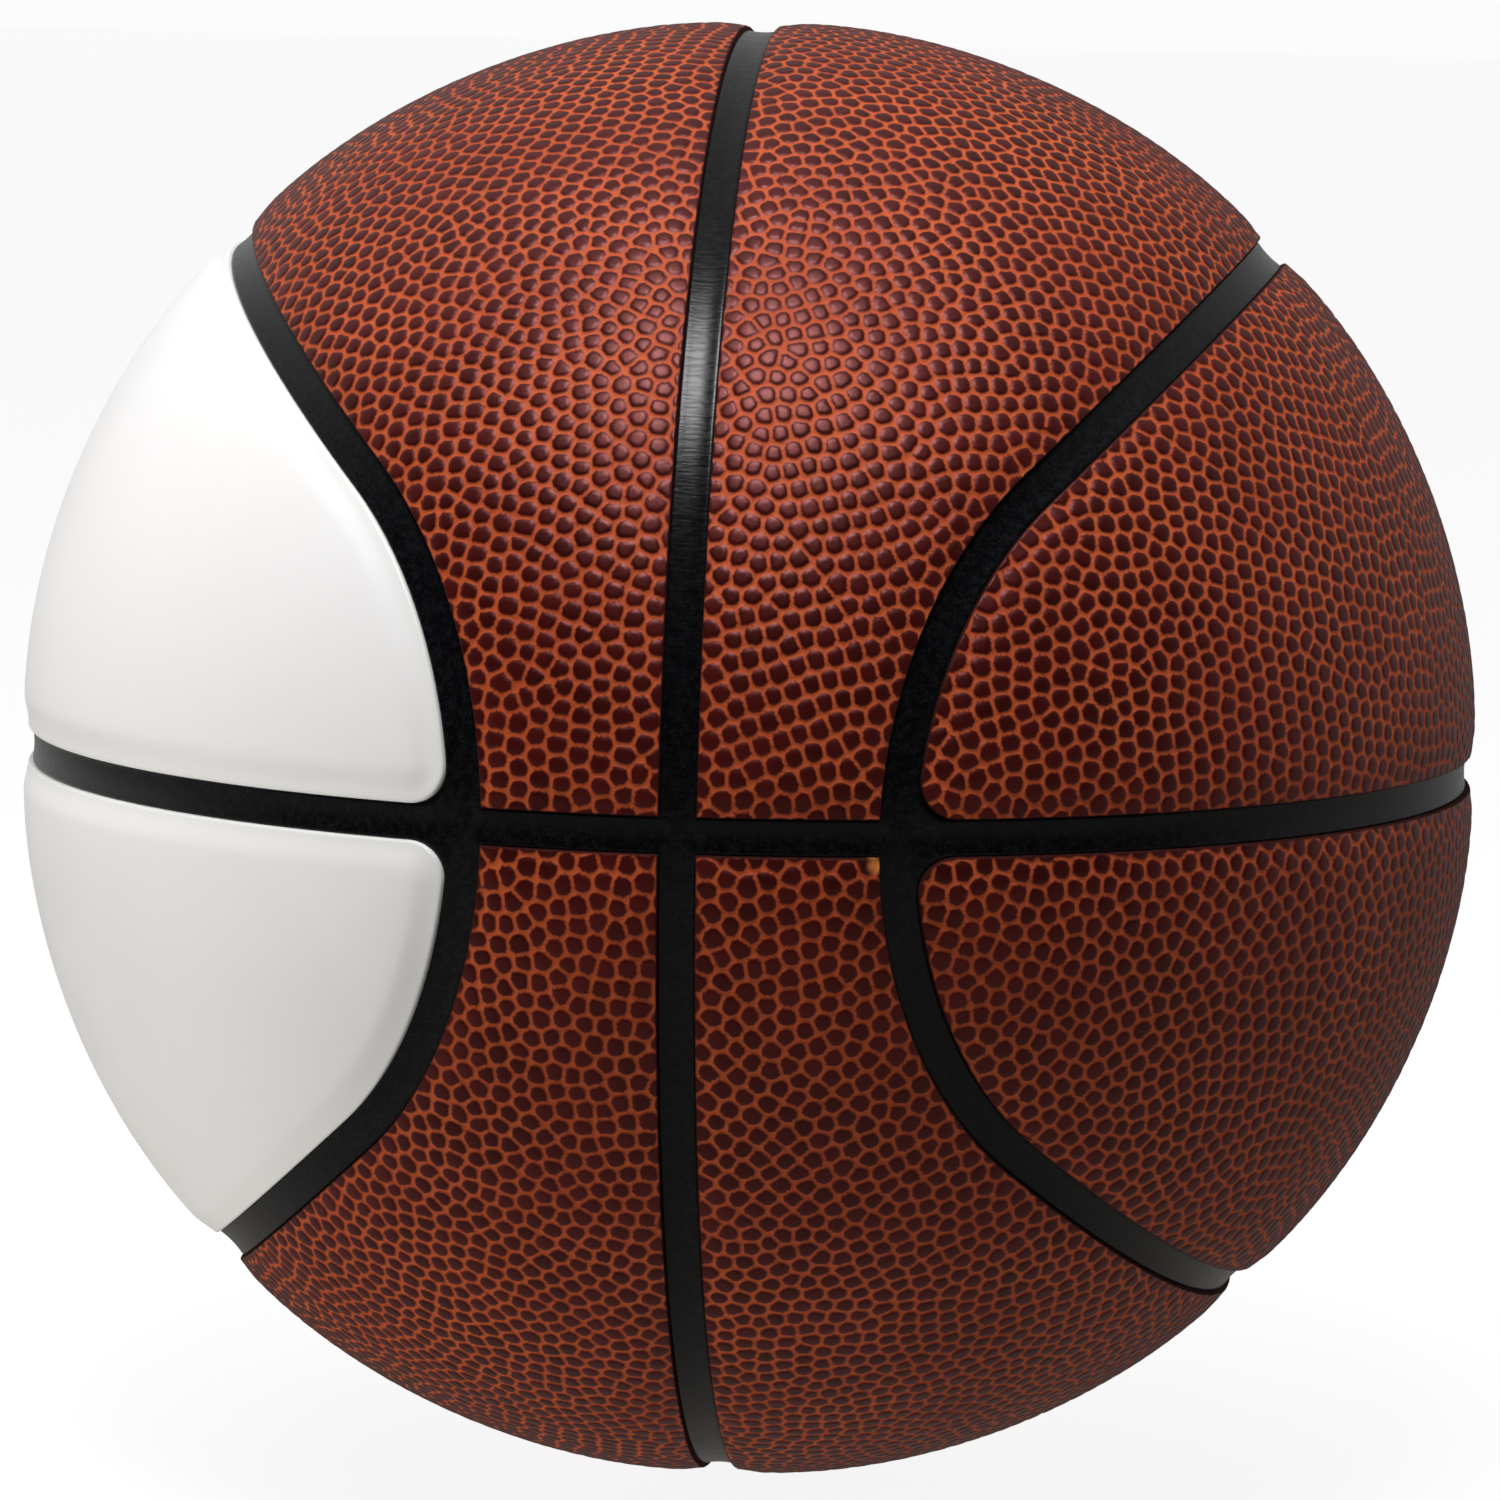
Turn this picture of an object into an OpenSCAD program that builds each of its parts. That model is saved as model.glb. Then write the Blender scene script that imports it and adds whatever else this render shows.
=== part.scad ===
// Eight-panel inflatable basketball, taken apart into the pieces it is laminated from.
// Origin at the centre of the ball. +Z is up. The front crossing of the two straight
// channels faces -Y and the valve faces +Y. The white panels lie on the -X side.
// All lengths are in millimetres and all angles in degrees.

/* [Ball] */
// Diameter over the cover panels
ball_d = 239; // [225:1:245]
// Glue line between two bonded layers
glue = 0.1; // [0.05:0.01:0.2]

/* [Cover panels] */
// Thickness of the cover skin
cover_t = 1.4; // [1:0.1:2]
// Thickness of the skin where it turns down at a panel's edge
edge_wall = 1.2; // [0.8:0.1:2]
// Distance from a side panel's corner to the centre of its rounding, along each edge
corner_inset = 5; // [3:0.5:8]
// Radius of the rounding, a little over the inset
corner_r = 5.2; // [4.7:0.1:5.6]

/* [Cushion pads] */
// Thickness of the sponge pads
pad_t = 1.7; // [1.2:0.1:3]

/* [Channels] */
// Width of a channel between two facing panels
channel_w = 5.6; // [4:0.2:7]
// Depth of a channel's floor below the panels
channel_depth = 2; // [1:0.1:2.6]
// Angle from the front crossing to the centre of a loop's bend
bend_centre_angle = 47; // [42:1:52]
// Slope of the plane that holds a loop's straight leg
leg_angle = 45; // [41:1:48]

/* [Inner layers] */
// Thickness of the rubber carcass between its ribs
carcass_t = 1.1; // [0.8:0.1:2]
// Thickness of the thread winding
winding_t = 0.8; // [0.5:0.1:2]
// Thickness of the bladder
bladder_t = 1; // [0.7:0.1:2]

/* [Valve] */
// Diameter of the round valve face at the surface
face_d = 9; // [8:0.5:11]
// Gap round the valve stem where it passes through a layer
stem_gap = 0.15; // [0.1:0.05:0.3]
// Diameter of the housing below its flange
boot_d = 11; // [10:0.5:12]
// Length of the housing below its flange
boot_l = 15; // [13:1:20]
// Thickness of the closed end of the housing
boot_floor_t = 1.4; // [1:0.1:2]
// Diameter of the flange that is bonded inside the bladder
flange_d = 26; // [20:1:32]
// Thickness of the flange
flange_t = 1.2; // [0.8:0.1:2]
// Diameter of the reinforcing patch round the stem
patch_d = 30; // [22:1:36]

/* [Valve plug] */
// Diameter of the plug's shank
shank_d = 5; // [4.5:0.1:6]
// Length of the plug's shank
shank_l = 14; // [12:1:15]
// Diameter of the plug's head
head_d = 6.8; // [6.4:0.1:7.2]
// Thickness of the plug's head
head_t = 1.2; // [0.8:0.1:2]
// Depth of the plug's head below the rim of the valve face
head_recess = 0.3; // [0.1:0.1:0.8]
// Radial running clearance of the plug in its housing
plug_clearance = 0.05; // [0.02:0.01:0.1]
// Diameter of the needle guide in the plug
needle_d = 2.2; // [2:0.1:2.6]
// Depth of the needle guide
needle_l = 7; // [5:1:9]
// Mouth diameter of the lead-in cone
lead_d = 3.4; // [2.8:0.1:4]
// Depth of the lead-in cone
lead_l = 0.8; // [0.4:0.1:1.2]

/* [Hidden] */
$fn = 96;

// Overrun of every cut beyond the surface that it cuts
cut_over = 2;

// Radii of the layers, from the outside inwards
ball_r = ball_d / 2;
cover_in_r = ball_r - cover_t;
pad_out_r = cover_in_r - glue;
pad_in_r = pad_out_r - pad_t;
carcass_out_r = pad_in_r - glue;
carcass_in_r = carcass_out_r - carcass_t;
rib_top_r = ball_r - channel_depth;
winding_out_r = carcass_in_r - glue;
winding_in_r = winding_out_r - winding_t;
bladder_out_r = winding_in_r - glue;
bladder_in_r = bladder_out_r - bladder_t;
flange_out_r = bladder_in_r - glue;
flange_in_r = flange_out_r - flange_t;
reach = ball_r + cut_over;

// A loop channel is two straight legs, each on a great circle through the Y axis, joined at
// the front and at the back by a bend on a small circle. The bend meets each leg at a slight
// angle, because it reaches just over the leg's great circle.
bend_meeting_angle = 5;
leg_angular_distance = asin(sin(bend_centre_angle) * sin(leg_angle));
bend_angular_r = asin(sin(leg_angular_distance) / cos(bend_meeting_angle));
touch_azimuth = atan(tan(bend_centre_angle) * pow(cos(leg_angle), 2));
bend_front_azimuth = bend_centre_angle - bend_angular_r;

// Distances of walls from the middle of a channel. Pads and the inside of a cover panel
// stand back by the turned-down edge.
panel_edge = channel_w / 2;
pocket_edge = panel_edge + edge_wall;
pad_edge = pocket_edge + glue;
rib_edge = panel_edge - glue;

// Valve radii and its places along +Y
stem_r = face_d / 2;
stem_hole_r = stem_r + stem_gap;
notch_r = stem_hole_r;
pocket_notch_r = notch_r + edge_wall;
pad_notch_r = pocket_notch_r + glue;
patch_r = patch_d / 2;
face_y = rib_top_r;
boot_end_y = flange_in_r - boot_l;
head_top_y = face_y - head_recess;
head_seat_y = head_top_y - head_t;
shank_end_y = head_seat_y - shank_l;

cover_brown = "#5a2226";
cover_white = "#ededee";
rubber_black = "#1d1d1f";
sponge_grey = "#8d8f92";
thread_cream = "#d9d2bf";
butyl_black = "#2a2a2c";

// A ball whose poles lie on the Y axis, under the crossings of the straight channels
module ball(outer_r) {
    rotate([90, 0, 0])
        sphere(r = outer_r);
}

// A spherical layer
module layer(outer_r, inner_r) {
    difference() {
        ball(outer_r);
        ball(inner_r);
    }
}

// A round bar along the valve axis, from one place on +Y to another
module valve_bar(bar_r, from_y, to_y) {
    translate([0, from_y, 0])
        rotate([-90, 0, 0])
            cylinder(r = bar_r, h = to_y - from_y);
}

// Moves a piece drawn in the right top quadrant to another quadrant
module quadrant(side_x, side_z) {
    mirror([side_x < 0 ? 1 : 0, 0, 0])
        mirror([0, 0, side_z < 0 ? 1 : 0])
            children();
}

// Cone round the middle of a front bend, with its wall moved inwards by the given edge.
// Its tip is left off, because the layers lie far out.
module bend_cone(edge) {
    apex = edge / sin(bend_angular_r);
    foot = reach / 2;
    head = 2 * reach;
    rotate([0, 0, bend_centre_angle - 90])
        rotate([0, 90, 0])
            translate([0, 0, apex + foot])
                cylinder(
                    h = head - foot,
                    r1 = foot * tan(bend_angular_r),
                    r2 = head * tan(bend_angular_r)
                );
}

// Room between the two legs of the right loop, with its walls moved inwards by the edge
module leg_wedge(edge) {
    apex = edge / sin(leg_angle);
    run = 2 * reach;
    rise = run * tan(leg_angle);
    rotate([90, 0, 0])
        linear_extrude(2 * reach, center = true)
            polygon([[apex, 0], [apex + run, -rise], [apex + run, rise]]);
}

// Room behind the places where the bends reach the legs
module leg_sector() {
    rise = reach / tan(touch_azimuth);
    linear_extrude(2 * reach, center = true)
        polygon([[0, 0], [reach, -rise], [reach, rise]]);
}

// Room of the right side panels, with its walls moved inwards from the middle of the channel
module side_zone(edge) {
    intersection() {
        leg_wedge(edge);
        union() {
            leg_sector();
            bend_cone(edge);
            mirror([0, 1, 0])
                bend_cone(edge);
        }
    }
}

// Cuts the front corner that the loop and the horizontal channel leave on a side panel
module corner_cutter(edge) {
    centre = panel_edge + corner_inset;
    rotate([0, 0, bend_front_azimuth - 90])
        rotate([90, 0, 90])
            translate([0, 0, bladder_in_r])
                difference() {
                    cube([centre, centre, reach - bladder_in_r]);
                    translate([centre, centre, -cut_over])
                        cylinder(r = corner_r + panel_edge - edge, h = reach);
                }
}

// Middle field of a layer, in the right top quadrant
module mid_field(outer_r, inner_r, edge) {
    difference() {
        intersection() {
            layer(outer_r, inner_r);
            translate([edge, -reach, edge])
                cube([reach, 2 * reach, reach]);
        }
        side_zone(-edge);
    }
}

// Side field of a layer, in the right top quadrant
module side_field(outer_r, inner_r, edge) {
    difference() {
        intersection() {
            layer(outer_r, inner_r);
            translate([0, -reach, edge])
                cube([reach, 2 * reach, reach]);
            side_zone(edge);
        }
        corner_cutter(edge);
        mirror([0, 1, 0])
            corner_cutter(edge);
    }
}

module mid_panel(side_x, side_z) {
    color(cover_brown)
        quadrant(side_x, side_z)
            difference() {
                mid_field(ball_r, pad_in_r, panel_edge);
                difference() {
                    mid_field(cover_in_r, carcass_in_r, pocket_edge);
                    valve_bar(pocket_notch_r, bladder_in_r, reach);
                }
                valve_bar(notch_r, bladder_in_r, reach);
            }
}

module side_panel(side_x, side_z, finish) {
    color(finish)
        quadrant(side_x, side_z)
            difference() {
                side_field(ball_r, pad_in_r, panel_edge);
                side_field(cover_in_r, carcass_in_r, pocket_edge);
            }
}

module mid_pad(side_x, side_z) {
    color(sponge_grey)
        quadrant(side_x, side_z)
            difference() {
                mid_field(pad_out_r, pad_in_r, pad_edge);
                valve_bar(pad_notch_r, bladder_in_r, reach);
            }
}

module side_pad(side_x, side_z) {
    color(sponge_grey)
        quadrant(side_x, side_z)
            side_field(pad_out_r, pad_in_r, pad_edge);
}

// The ribs are what stays between the eight recesses for the pads and cover panels
module carcass() {
    color(rubber_black)
        difference() {
            ball(rib_top_r);
            for (side_x = [1, -1])
                for (side_z = [1, -1])
                    quadrant(side_x, side_z) {
                        mid_field(reach, carcass_out_r, rib_edge);
                        side_field(reach, carcass_out_r, rib_edge);
                    }
            ball(carcass_in_r);
            valve_bar(stem_hole_r, bladder_in_r, reach);
        }
}

module winding() {
    color(thread_cream)
        difference() {
            layer(winding_out_r, winding_in_r);
            valve_bar(patch_r + glue, bladder_in_r / 2, reach);
        }
}

module valve_patch() {
    color(butyl_black)
        difference() {
            intersection() {
                layer(winding_out_r, winding_in_r);
                valve_bar(patch_r, bladder_in_r / 2, reach);
            }
            valve_bar(stem_hole_r, bladder_in_r / 2, reach);
        }
}

module bladder() {
    color(butyl_black)
        difference() {
            layer(bladder_out_r, bladder_in_r);
            valve_bar(stem_hole_r, bladder_in_r / 2, reach);
        }
}

module valve_housing() {
    color(rubber_black)
        difference() {
            union() {
                valve_bar(stem_r, flange_in_r - flange_t, face_y);
                valve_bar(boot_d / 2, boot_end_y, flange_in_r);
                intersection() {
                    layer(flange_out_r, flange_in_r);
                    valve_bar(flange_d / 2, flange_in_r / 2, reach);
                }
            }
            valve_bar(head_d / 2 + plug_clearance, head_seat_y, reach);
            valve_bar(shank_d / 2 + plug_clearance, boot_end_y + boot_floor_t, reach);
        }
}

module valve_plug() {
    color(rubber_black)
        difference() {
            union() {
                valve_bar(head_d / 2, head_seat_y, head_top_y);
                valve_bar(shank_d / 2, shank_end_y, head_top_y);
            }
            valve_bar(needle_d / 2, head_top_y - needle_l, reach);
            translate([0, head_top_y - lead_l, 0])
                rotate([-90, 0, 0])
                    cylinder(r1 = needle_d / 2, r2 = lead_d / 2, h = lead_l);
        }
}

bladder();
valve_patch();
winding();
carcass();
mid_pad(-1, 1);  // pad_mid_left_top
mid_pad(1, 1);  // pad_mid_right_top
mid_pad(-1, -1);  // pad_mid_left_bottom
mid_pad(1, -1);  // pad_mid_right_bottom
side_pad(-1, 1);  // pad_side_left_top
side_pad(1, 1);  // pad_side_right_top
side_pad(-1, -1);  // pad_side_left_bottom
side_pad(1, -1);  // pad_side_right_bottom
mid_panel(-1, 1);  // panel_mid_left_top
mid_panel(1, 1);  // panel_mid_right_top
mid_panel(-1, -1);  // panel_mid_left_bottom
mid_panel(1, -1);  // panel_mid_right_bottom
side_panel(-1, 1, cover_white);  // panel_side_left_top
side_panel(1, 1, cover_brown);  // panel_side_right_top
side_panel(-1, -1, cover_white);  // panel_side_left_bottom
side_panel(1, -1, cover_brown);  // panel_side_right_bottom
valve_housing();
valve_plug();
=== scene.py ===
"""Looks of an eight-panel inflatable basketball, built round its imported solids.

The cover panels, the rubber carcass whose ribs are the channels, the cushion pads, the thread
winding and the valve are made here as finished meshes with procedural materials. Work inside
the classes is in millimetres; points go into Blender in metres. The frame is the solids' own:
origin at the ball's centre, +Z up, front crossing of the channels at -Y, valve at +Y.
"""

import logging
import math
from collections.abc import Callable, Sequence
from dataclasses import dataclass, field, replace
from enum import Enum

import bpy
import numpy as np
from mathutils import Matrix, Vector
from mathutils.geometry import delaunay_2d_cdt


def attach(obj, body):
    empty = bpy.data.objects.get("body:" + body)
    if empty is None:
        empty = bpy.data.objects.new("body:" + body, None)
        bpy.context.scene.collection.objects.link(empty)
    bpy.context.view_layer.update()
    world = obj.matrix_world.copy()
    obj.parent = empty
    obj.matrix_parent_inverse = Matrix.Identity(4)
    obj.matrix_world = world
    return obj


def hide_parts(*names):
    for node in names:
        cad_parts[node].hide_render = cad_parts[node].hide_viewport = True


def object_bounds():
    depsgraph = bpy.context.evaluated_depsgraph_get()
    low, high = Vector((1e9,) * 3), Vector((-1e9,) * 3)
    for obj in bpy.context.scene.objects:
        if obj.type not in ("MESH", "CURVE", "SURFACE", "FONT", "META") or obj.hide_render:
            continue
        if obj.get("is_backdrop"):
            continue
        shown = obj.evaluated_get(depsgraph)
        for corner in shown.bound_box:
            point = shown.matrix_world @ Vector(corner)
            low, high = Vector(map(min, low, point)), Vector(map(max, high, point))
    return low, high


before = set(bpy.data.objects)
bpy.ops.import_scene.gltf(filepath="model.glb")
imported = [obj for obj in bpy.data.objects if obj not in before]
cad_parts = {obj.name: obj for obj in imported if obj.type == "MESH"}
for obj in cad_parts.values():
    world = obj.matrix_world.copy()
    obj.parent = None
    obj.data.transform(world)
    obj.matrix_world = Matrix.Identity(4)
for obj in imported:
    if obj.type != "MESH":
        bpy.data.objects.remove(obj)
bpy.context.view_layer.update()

MM = 0.001
FULL_TURN = 2 * math.pi
GOLDEN_TURN = math.pi * (3 - math.sqrt(5))
LOG = logging.getLogger("basketball")
Array = np.ndarray
Colour = tuple[float, float, float, float]
WHITE_LIGHT = (1.0, 1.0, 1.0, 1.0)
TILT = np.array([0.31, 0.12, 0.94])


class Kind(Enum):
    """The two shapes of cover field."""

    MID = "mid"
    SIDE = "side"


@dataclass(frozen=True)
class Quadrant:
    """Side of the ball that a field lies on, as signs of x and z."""

    x: int
    z: int

    @property
    def label(self) -> str:
        """Name of the quadrant, as the solids' names end."""
        return f"{'right' if self.x > 0 else 'left'}_{'top' if self.z > 0 else 'bottom'}"

    def place(self, points: Array) -> Array:
        """Moves points that were drawn in the right top quadrant to this one."""
        return points * np.array([self.x, 1.0, self.z])

    def wind(self, faces: Array) -> Array:
        """Turns faces over where the quadrant is a mirror image."""
        return faces if self.x * self.z > 0 else faces[:, ::-1]


QUADRANTS = [Quadrant(x, z) for z in (1, -1) for x in (-1, 1)]


def unit(vectors: Array) -> Array:
    """Vectors divided by their lengths."""
    return vectors / np.linalg.norm(vectors, axis=-1, keepdims=True)


def soft_step(values: Array, low: float, high: float) -> Array:
    """Rises from 0 at low to 1 at high as 3t^2 - 2t^3."""
    t = np.clip((values - low) / (high - low), 0, 1)
    return t * t * (3 - 2 * t)


def sunflower(pitch: float, radius: float, turn: Array | None = None) -> Array:
    """Evenly spread directions over a whole sphere.

    The i-th of n points stands at height 1 - (2i + 1) / n and at i golden turns round the
    pole, which gives each point the same area, pitch squared times area_share.

    Args:
        pitch: Distance between neighbours in millimetres.
        radius: Radius of the sphere in millimetres.
        turn: Rotation matrix for the whole set, or None.

    Returns:
        Unit vectors, one row each.
    """
    area_share = 0.89
    count = int(4 * math.pi * radius**2 / (area_share * pitch**2))
    index = np.arange(count)
    height = 1 - (2 * index + 1) / count
    ring = np.sqrt(1 - height**2)
    angle = index * GOLDEN_TURN
    points = np.stack([ring * np.cos(angle), ring * np.sin(angle), height], axis=1)
    return points if turn is None else points @ turn.T


def random_turn(rng: np.random.Generator) -> Array:
    """Random rotation matrix: the orthogonal part of a matrix of normal draws."""
    matrix, _ = np.linalg.qr(rng.normal(size=(3, 3)))
    return matrix if np.linalg.det(matrix) > 0 else -matrix


def runs_left(loop: Array, centre: Array) -> bool:
    """Whether a closed loop goes anticlockwise round the centre, seen from outside."""
    return float(np.cross(loop, np.roll(loop, -1, axis=0)).sum(axis=0) @ centre) > 0


# Layout of the channels


@dataclass(frozen=True)
class Layout:
    """Courses of the channels over the ball, from the same sizes as the solids.

    Two straight channels lie in the planes x = 0 and z = 0. Each loop has two straight legs in
    planes through the Y axis, joined by a bend at the front and one at the back. A bend is a
    small circle round an axis in the plane z = 0, and touches the legs.

    Outlines are given for the right top quadrant by their inset, the distance in millimetres
    by which they lie inside the panel's own edge; a negative inset lies over the channel.
    """

    field_r: float = 118.0
    half_width: float = 2.8
    bend_centre: float = math.radians(47.0)
    leg: float = math.radians(45.0)
    corner_r: float = 6.2
    notch_r: float = 4.65
    least_notch_share: float = 1.45
    mid_lean: float = math.radians(68.0)
    side_lean: float = math.radians(24.0)
    measured_points: int = 65

    @property
    def bend_r(self) -> float:
        """Angular radius of a bend's middle line."""
        return math.asin(math.sin(self.bend_centre) * math.sin(self.leg))

    @property
    def bend_turn(self) -> float:
        """Angle round a bend's axis from its nose to where it touches a leg."""
        return math.atan2(math.cos(self.leg), math.sin(self.leg) * math.cos(self.bend_centre))

    def distances(self, kind: Kind, u: Array) -> Array:
        """Distances of directions from each edge of a panel, positive inside it.

        A direction u lies radius * sin(angle) from a plane or from the cone of a bend. Which
        of bend and leg counts is told by the plane through both their axes.

        Args:
            kind: Shape of the panel.
            u: Unit vectors, mirrored into the right top quadrant here.

        Returns:
            One column for each edge: upright channel and valve notch (middle panels only),
            level channel, loop.
        """
        a = np.abs(u)
        x, y, z = a[:, 0], a[:, 1], a[:, 2]
        cb, sb = math.cos(self.bend_centre), math.sin(self.bend_centre)
        cl, sl = math.cos(self.leg), math.sin(self.leg)
        to_axis = np.arccos(np.clip(x * sb + y * cb, -1, 1))
        bend = np.sin(np.clip(self.bend_r - to_axis, -1.5, 1.5))
        straight = x * sl - z * cl
        by_bend = -cb * cl * x + sb * cl * y - cb * sl * z > 0
        loop = self.field_r * np.where(by_bend, bend, straight)
        level = self.field_r * z - self.half_width
        if kind is Kind.SIDE:
            return np.stack([level, loop - self.half_width], axis=1)
        upright = self.field_r * x - self.half_width
        notch = self.field_r * np.hypot(x, z) - self.notch_r
        notch = np.where(u[:, 1] > 0, notch, self.field_r)
        return np.stack([upright, notch, level, -loop - self.half_width], axis=1)

    def inset_of(self, kind: Kind, u: Array) -> Array:
        """Inset of directions: the least distance, rounded at the corners of side panels.

        Args:
            kind: Shape of the panel.
            u: Unit vectors.

        Returns:
            Insets in millimetres.
        """
        edges = self.distances(kind, u)
        inset = edges.min(axis=1)
        if kind is Kind.SIDE:
            short = self.corner_r - edges
            round_off = self.corner_r - np.hypot(short[:, 0], short[:, 1])
            inset = np.where((short > 0).all(axis=1), round_off, inset)
        return inset

    def centre(self, kind: Kind) -> Array:
        """A direction near the middle of a panel."""
        lean = self.mid_lean if kind is Kind.MID else self.side_lean
        return np.array([math.cos(lean), 0.0, math.sin(lean)])

    def spread(self, kind: Kind, pitch: float, least: float) -> Array:
        """Evenly spread directions that lie farther inside a panel's edge than an inset.

        Args:
            kind: Shape of the panel.
            pitch: Distance between neighbours in millimetres.
            least: Inset in millimetres.

        Returns:
            Unit vectors, one row each.
        """
        u = sunflower(pitch, self.field_r)
        u = u[(u[:, 0] > 0) & (u[:, 2] > 0)]
        return u[self.inset_of(kind, u) > least]

    def _level(self, k: float, azimuth: Array) -> Array:
        """Points at height k, by their azimuth from +Y towards +X."""
        c = math.sqrt(1 - k * k)
        return np.stack([c * np.sin(azimuth), c * np.cos(azimuth), k + 0 * azimuth], axis=1)

    def _upright(self, k: float, climb: Array) -> Array:
        """Points at x = k, by their angle from +Y over +Z."""
        c = math.sqrt(1 - k * k)
        return np.stack([k + 0 * climb, c * np.cos(climb), c * np.sin(climb)], axis=1)

    def notch(self, k: float, turn: Array) -> Array:
        """Points on a circle of radius k round the valve, by their turn from +X to +Z."""
        rise = math.sqrt(1 - k**2)
        return np.stack([k * np.cos(turn), rise + 0 * turn, k * np.sin(turn)], axis=1)

    def _bend(self, radius: float, turn: Array, back: int) -> Array:
        """Points on a circle of an angular radius round a bend's axis, by their turn.

        Args:
            radius: Angular radius of the circle.
            turn: Angles from the bend's nose.
            back: 1 for the bend at +Y, -1 for the one at -Y.

        Returns:
            Unit vectors, one row each.
        """
        cb, sb = math.cos(self.bend_centre), math.sin(self.bend_centre)
        axis = np.array([sb, back * cb, 0.0])
        nose = np.array([-cb, back * sb, 0.0])
        up = np.array([0.0, 0.0, 1.0])
        swing = np.cos(turn)[:, None] * nose + np.sin(turn)[:, None] * up
        return math.cos(radius) * axis + math.sin(radius) * swing

    def _leg(self, k: float, run: Array) -> Array:
        """Points at distance k on the loop's inner side of a leg's plane, by their run.

        Args:
            k: Distance as a share of the radius.
            run: Angles from the top towards +Y.

        Returns:
            Unit vectors, one row each.
        """
        cl, sl = math.cos(self.leg), math.sin(self.leg)
        across = k * np.array([sl, 0.0, -cl])
        top = np.array([cl, 0.0, sl])
        side = np.array([0.0, 1.0, 0.0])
        swing = np.cos(run)[:, None] * top + np.sin(run)[:, None] * side
        return across + math.sqrt(1 - k * k) * swing

    def _azimuth(self, k: float, reach: float) -> float:
        """Azimuth at height k of the bend's circle with an angular radius of reach."""
        return self.bend_centre - math.acos(min(1.0, math.cos(reach) / math.sqrt(1 - k * k)))

    def _corner(self, inset: float, rounding: float, sweep: Array) -> Array:
        """Rounded corner of a side panel, between the level channel and the bend.

        Args:
            inset: Inset of the outline in millimetres.
            rounding: Radius of the corner on the panel's own edge.
            sweep: Angles, 0 at the level channel and a quarter turn at the bend.

        Returns:
            Unit vectors, one row each.
        """
        level = rounding - (rounding - inset) * np.cos(sweep)
        loop = rounding - (rounding - inset) * np.sin(sweep)
        height = (self.half_width + level) / self.field_r
        reach = self.bend_r - np.arcsin((self.half_width + loop) / self.field_r)
        c = np.sqrt(1 - height**2)
        off = np.arccos(np.clip(np.cos(reach) / c, -1, 1))
        azimuth = math.pi - (self.bend_centre - off)
        return np.stack([c * np.sin(azimuth), c * np.cos(azimuth), height], axis=1)

    def runs(self, kind: Kind, inset: float, closing: bool = True) -> list[Callable]:
        """Courses of an outline in order, each a function of shares from 0 to 1.

        Args:
            kind: Shape of the panel.
            inset: Inset of the outline in millimetres.
            closing: Whether a middle panel's outline follows the valve notch.

        Returns:
            Functions from shares along a course to unit vectors.
        """
        gap = self.half_width + inset
        k = gap / self.field_r
        out = kind is Kind.MID
        reach = self.bend_r + math.asin(k) * (1 if out else -1)
        touch = self._bend(reach, np.array([self.bend_turn]), 1)[0]
        top = np.array([math.cos(self.leg), 0.0, math.sin(self.leg)])
        run = math.atan2(touch[1], float(touch @ top))
        if out:
            notch = self.notch_r + max(inset, 0.0) * closing
            notch = max(notch, self.least_notch_share * gap) / self.field_r
            side = math.sqrt(notch**2 - k * k)
            c = math.sqrt(1 - k * k)
            start = math.asin(side / c)
            nose = self._azimuth(k, reach)
            low_turn = math.asin(k / math.sin(reach))
            front = math.pi - math.asin(k / c)
            spans = [
                (lambda t: self._level(k, t), start, nose),
                (lambda t: self._bend(reach, t, 1), low_turn, self.bend_turn),
                (lambda t: self._leg(-k, t), run, -run),
                (lambda t: self._bend(reach, t, -1), self.bend_turn, low_turn),
                (lambda t: self._level(k, t), math.pi - nose, front),
                (lambda t: self._upright(k, t), front, start),
            ]
            if closing:
                ends = math.atan2(side, k), math.atan2(k, side)
                spans.append((lambda t: self.notch(notch, t), *ends))
        else:
            rounding = self.corner_r
            if inset < 0:
                rounding += (inset - self.corner_r) * min(1.0, -inset / self.half_width)
            quarter = math.pi / 2
            ends = self._corner(inset, rounding, np.zeros(1))[0]
            level_end = math.atan2(ends[0], ends[1])
            tips = self._corner(inset, rounding, np.full(1, quarter))[0]
            low_turn = math.asin(min(1.0, tips[2] / math.sin(reach)))
            mirror = np.array([1.0, -1.0, 1.0])
            spans = [
                (lambda t: self._level(k, t), math.pi - level_end, level_end),
                (lambda t: self._corner(inset, rounding, t), 0, quarter),
                (lambda t: self._bend(reach, t, -1), low_turn, self.bend_turn),
                (lambda t: self._leg(k, t), -run, run),
                (lambda t: self._bend(reach, t, 1), self.bend_turn, low_turn),
                (lambda t: self._corner(inset, rounding, t) * mirror, quarter, 0),
            ]
        return [lambda share, f=f, a=a, b=b: f(a + (b - a) * share) for f, a, b in spans]

    def counts(self, kind: Kind, spacing: float, closing: bool = True) -> list[int]:
        """Number of steps on each course of a panel's outline at a spacing.

        Open outlines are counted along the channels' middles, which neighbours share.
        """
        share = np.linspace(0, 1, self.measured_points)
        least = 3 if closing else 9
        runs = self.runs(kind, 0.0 if closing else -self.half_width, closing)
        steps = [np.linalg.norm(np.diff(run(share), axis=0), axis=1).sum() for run in runs]
        return [max(least, round(step * self.field_r / spacing)) for step in steps]

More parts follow.
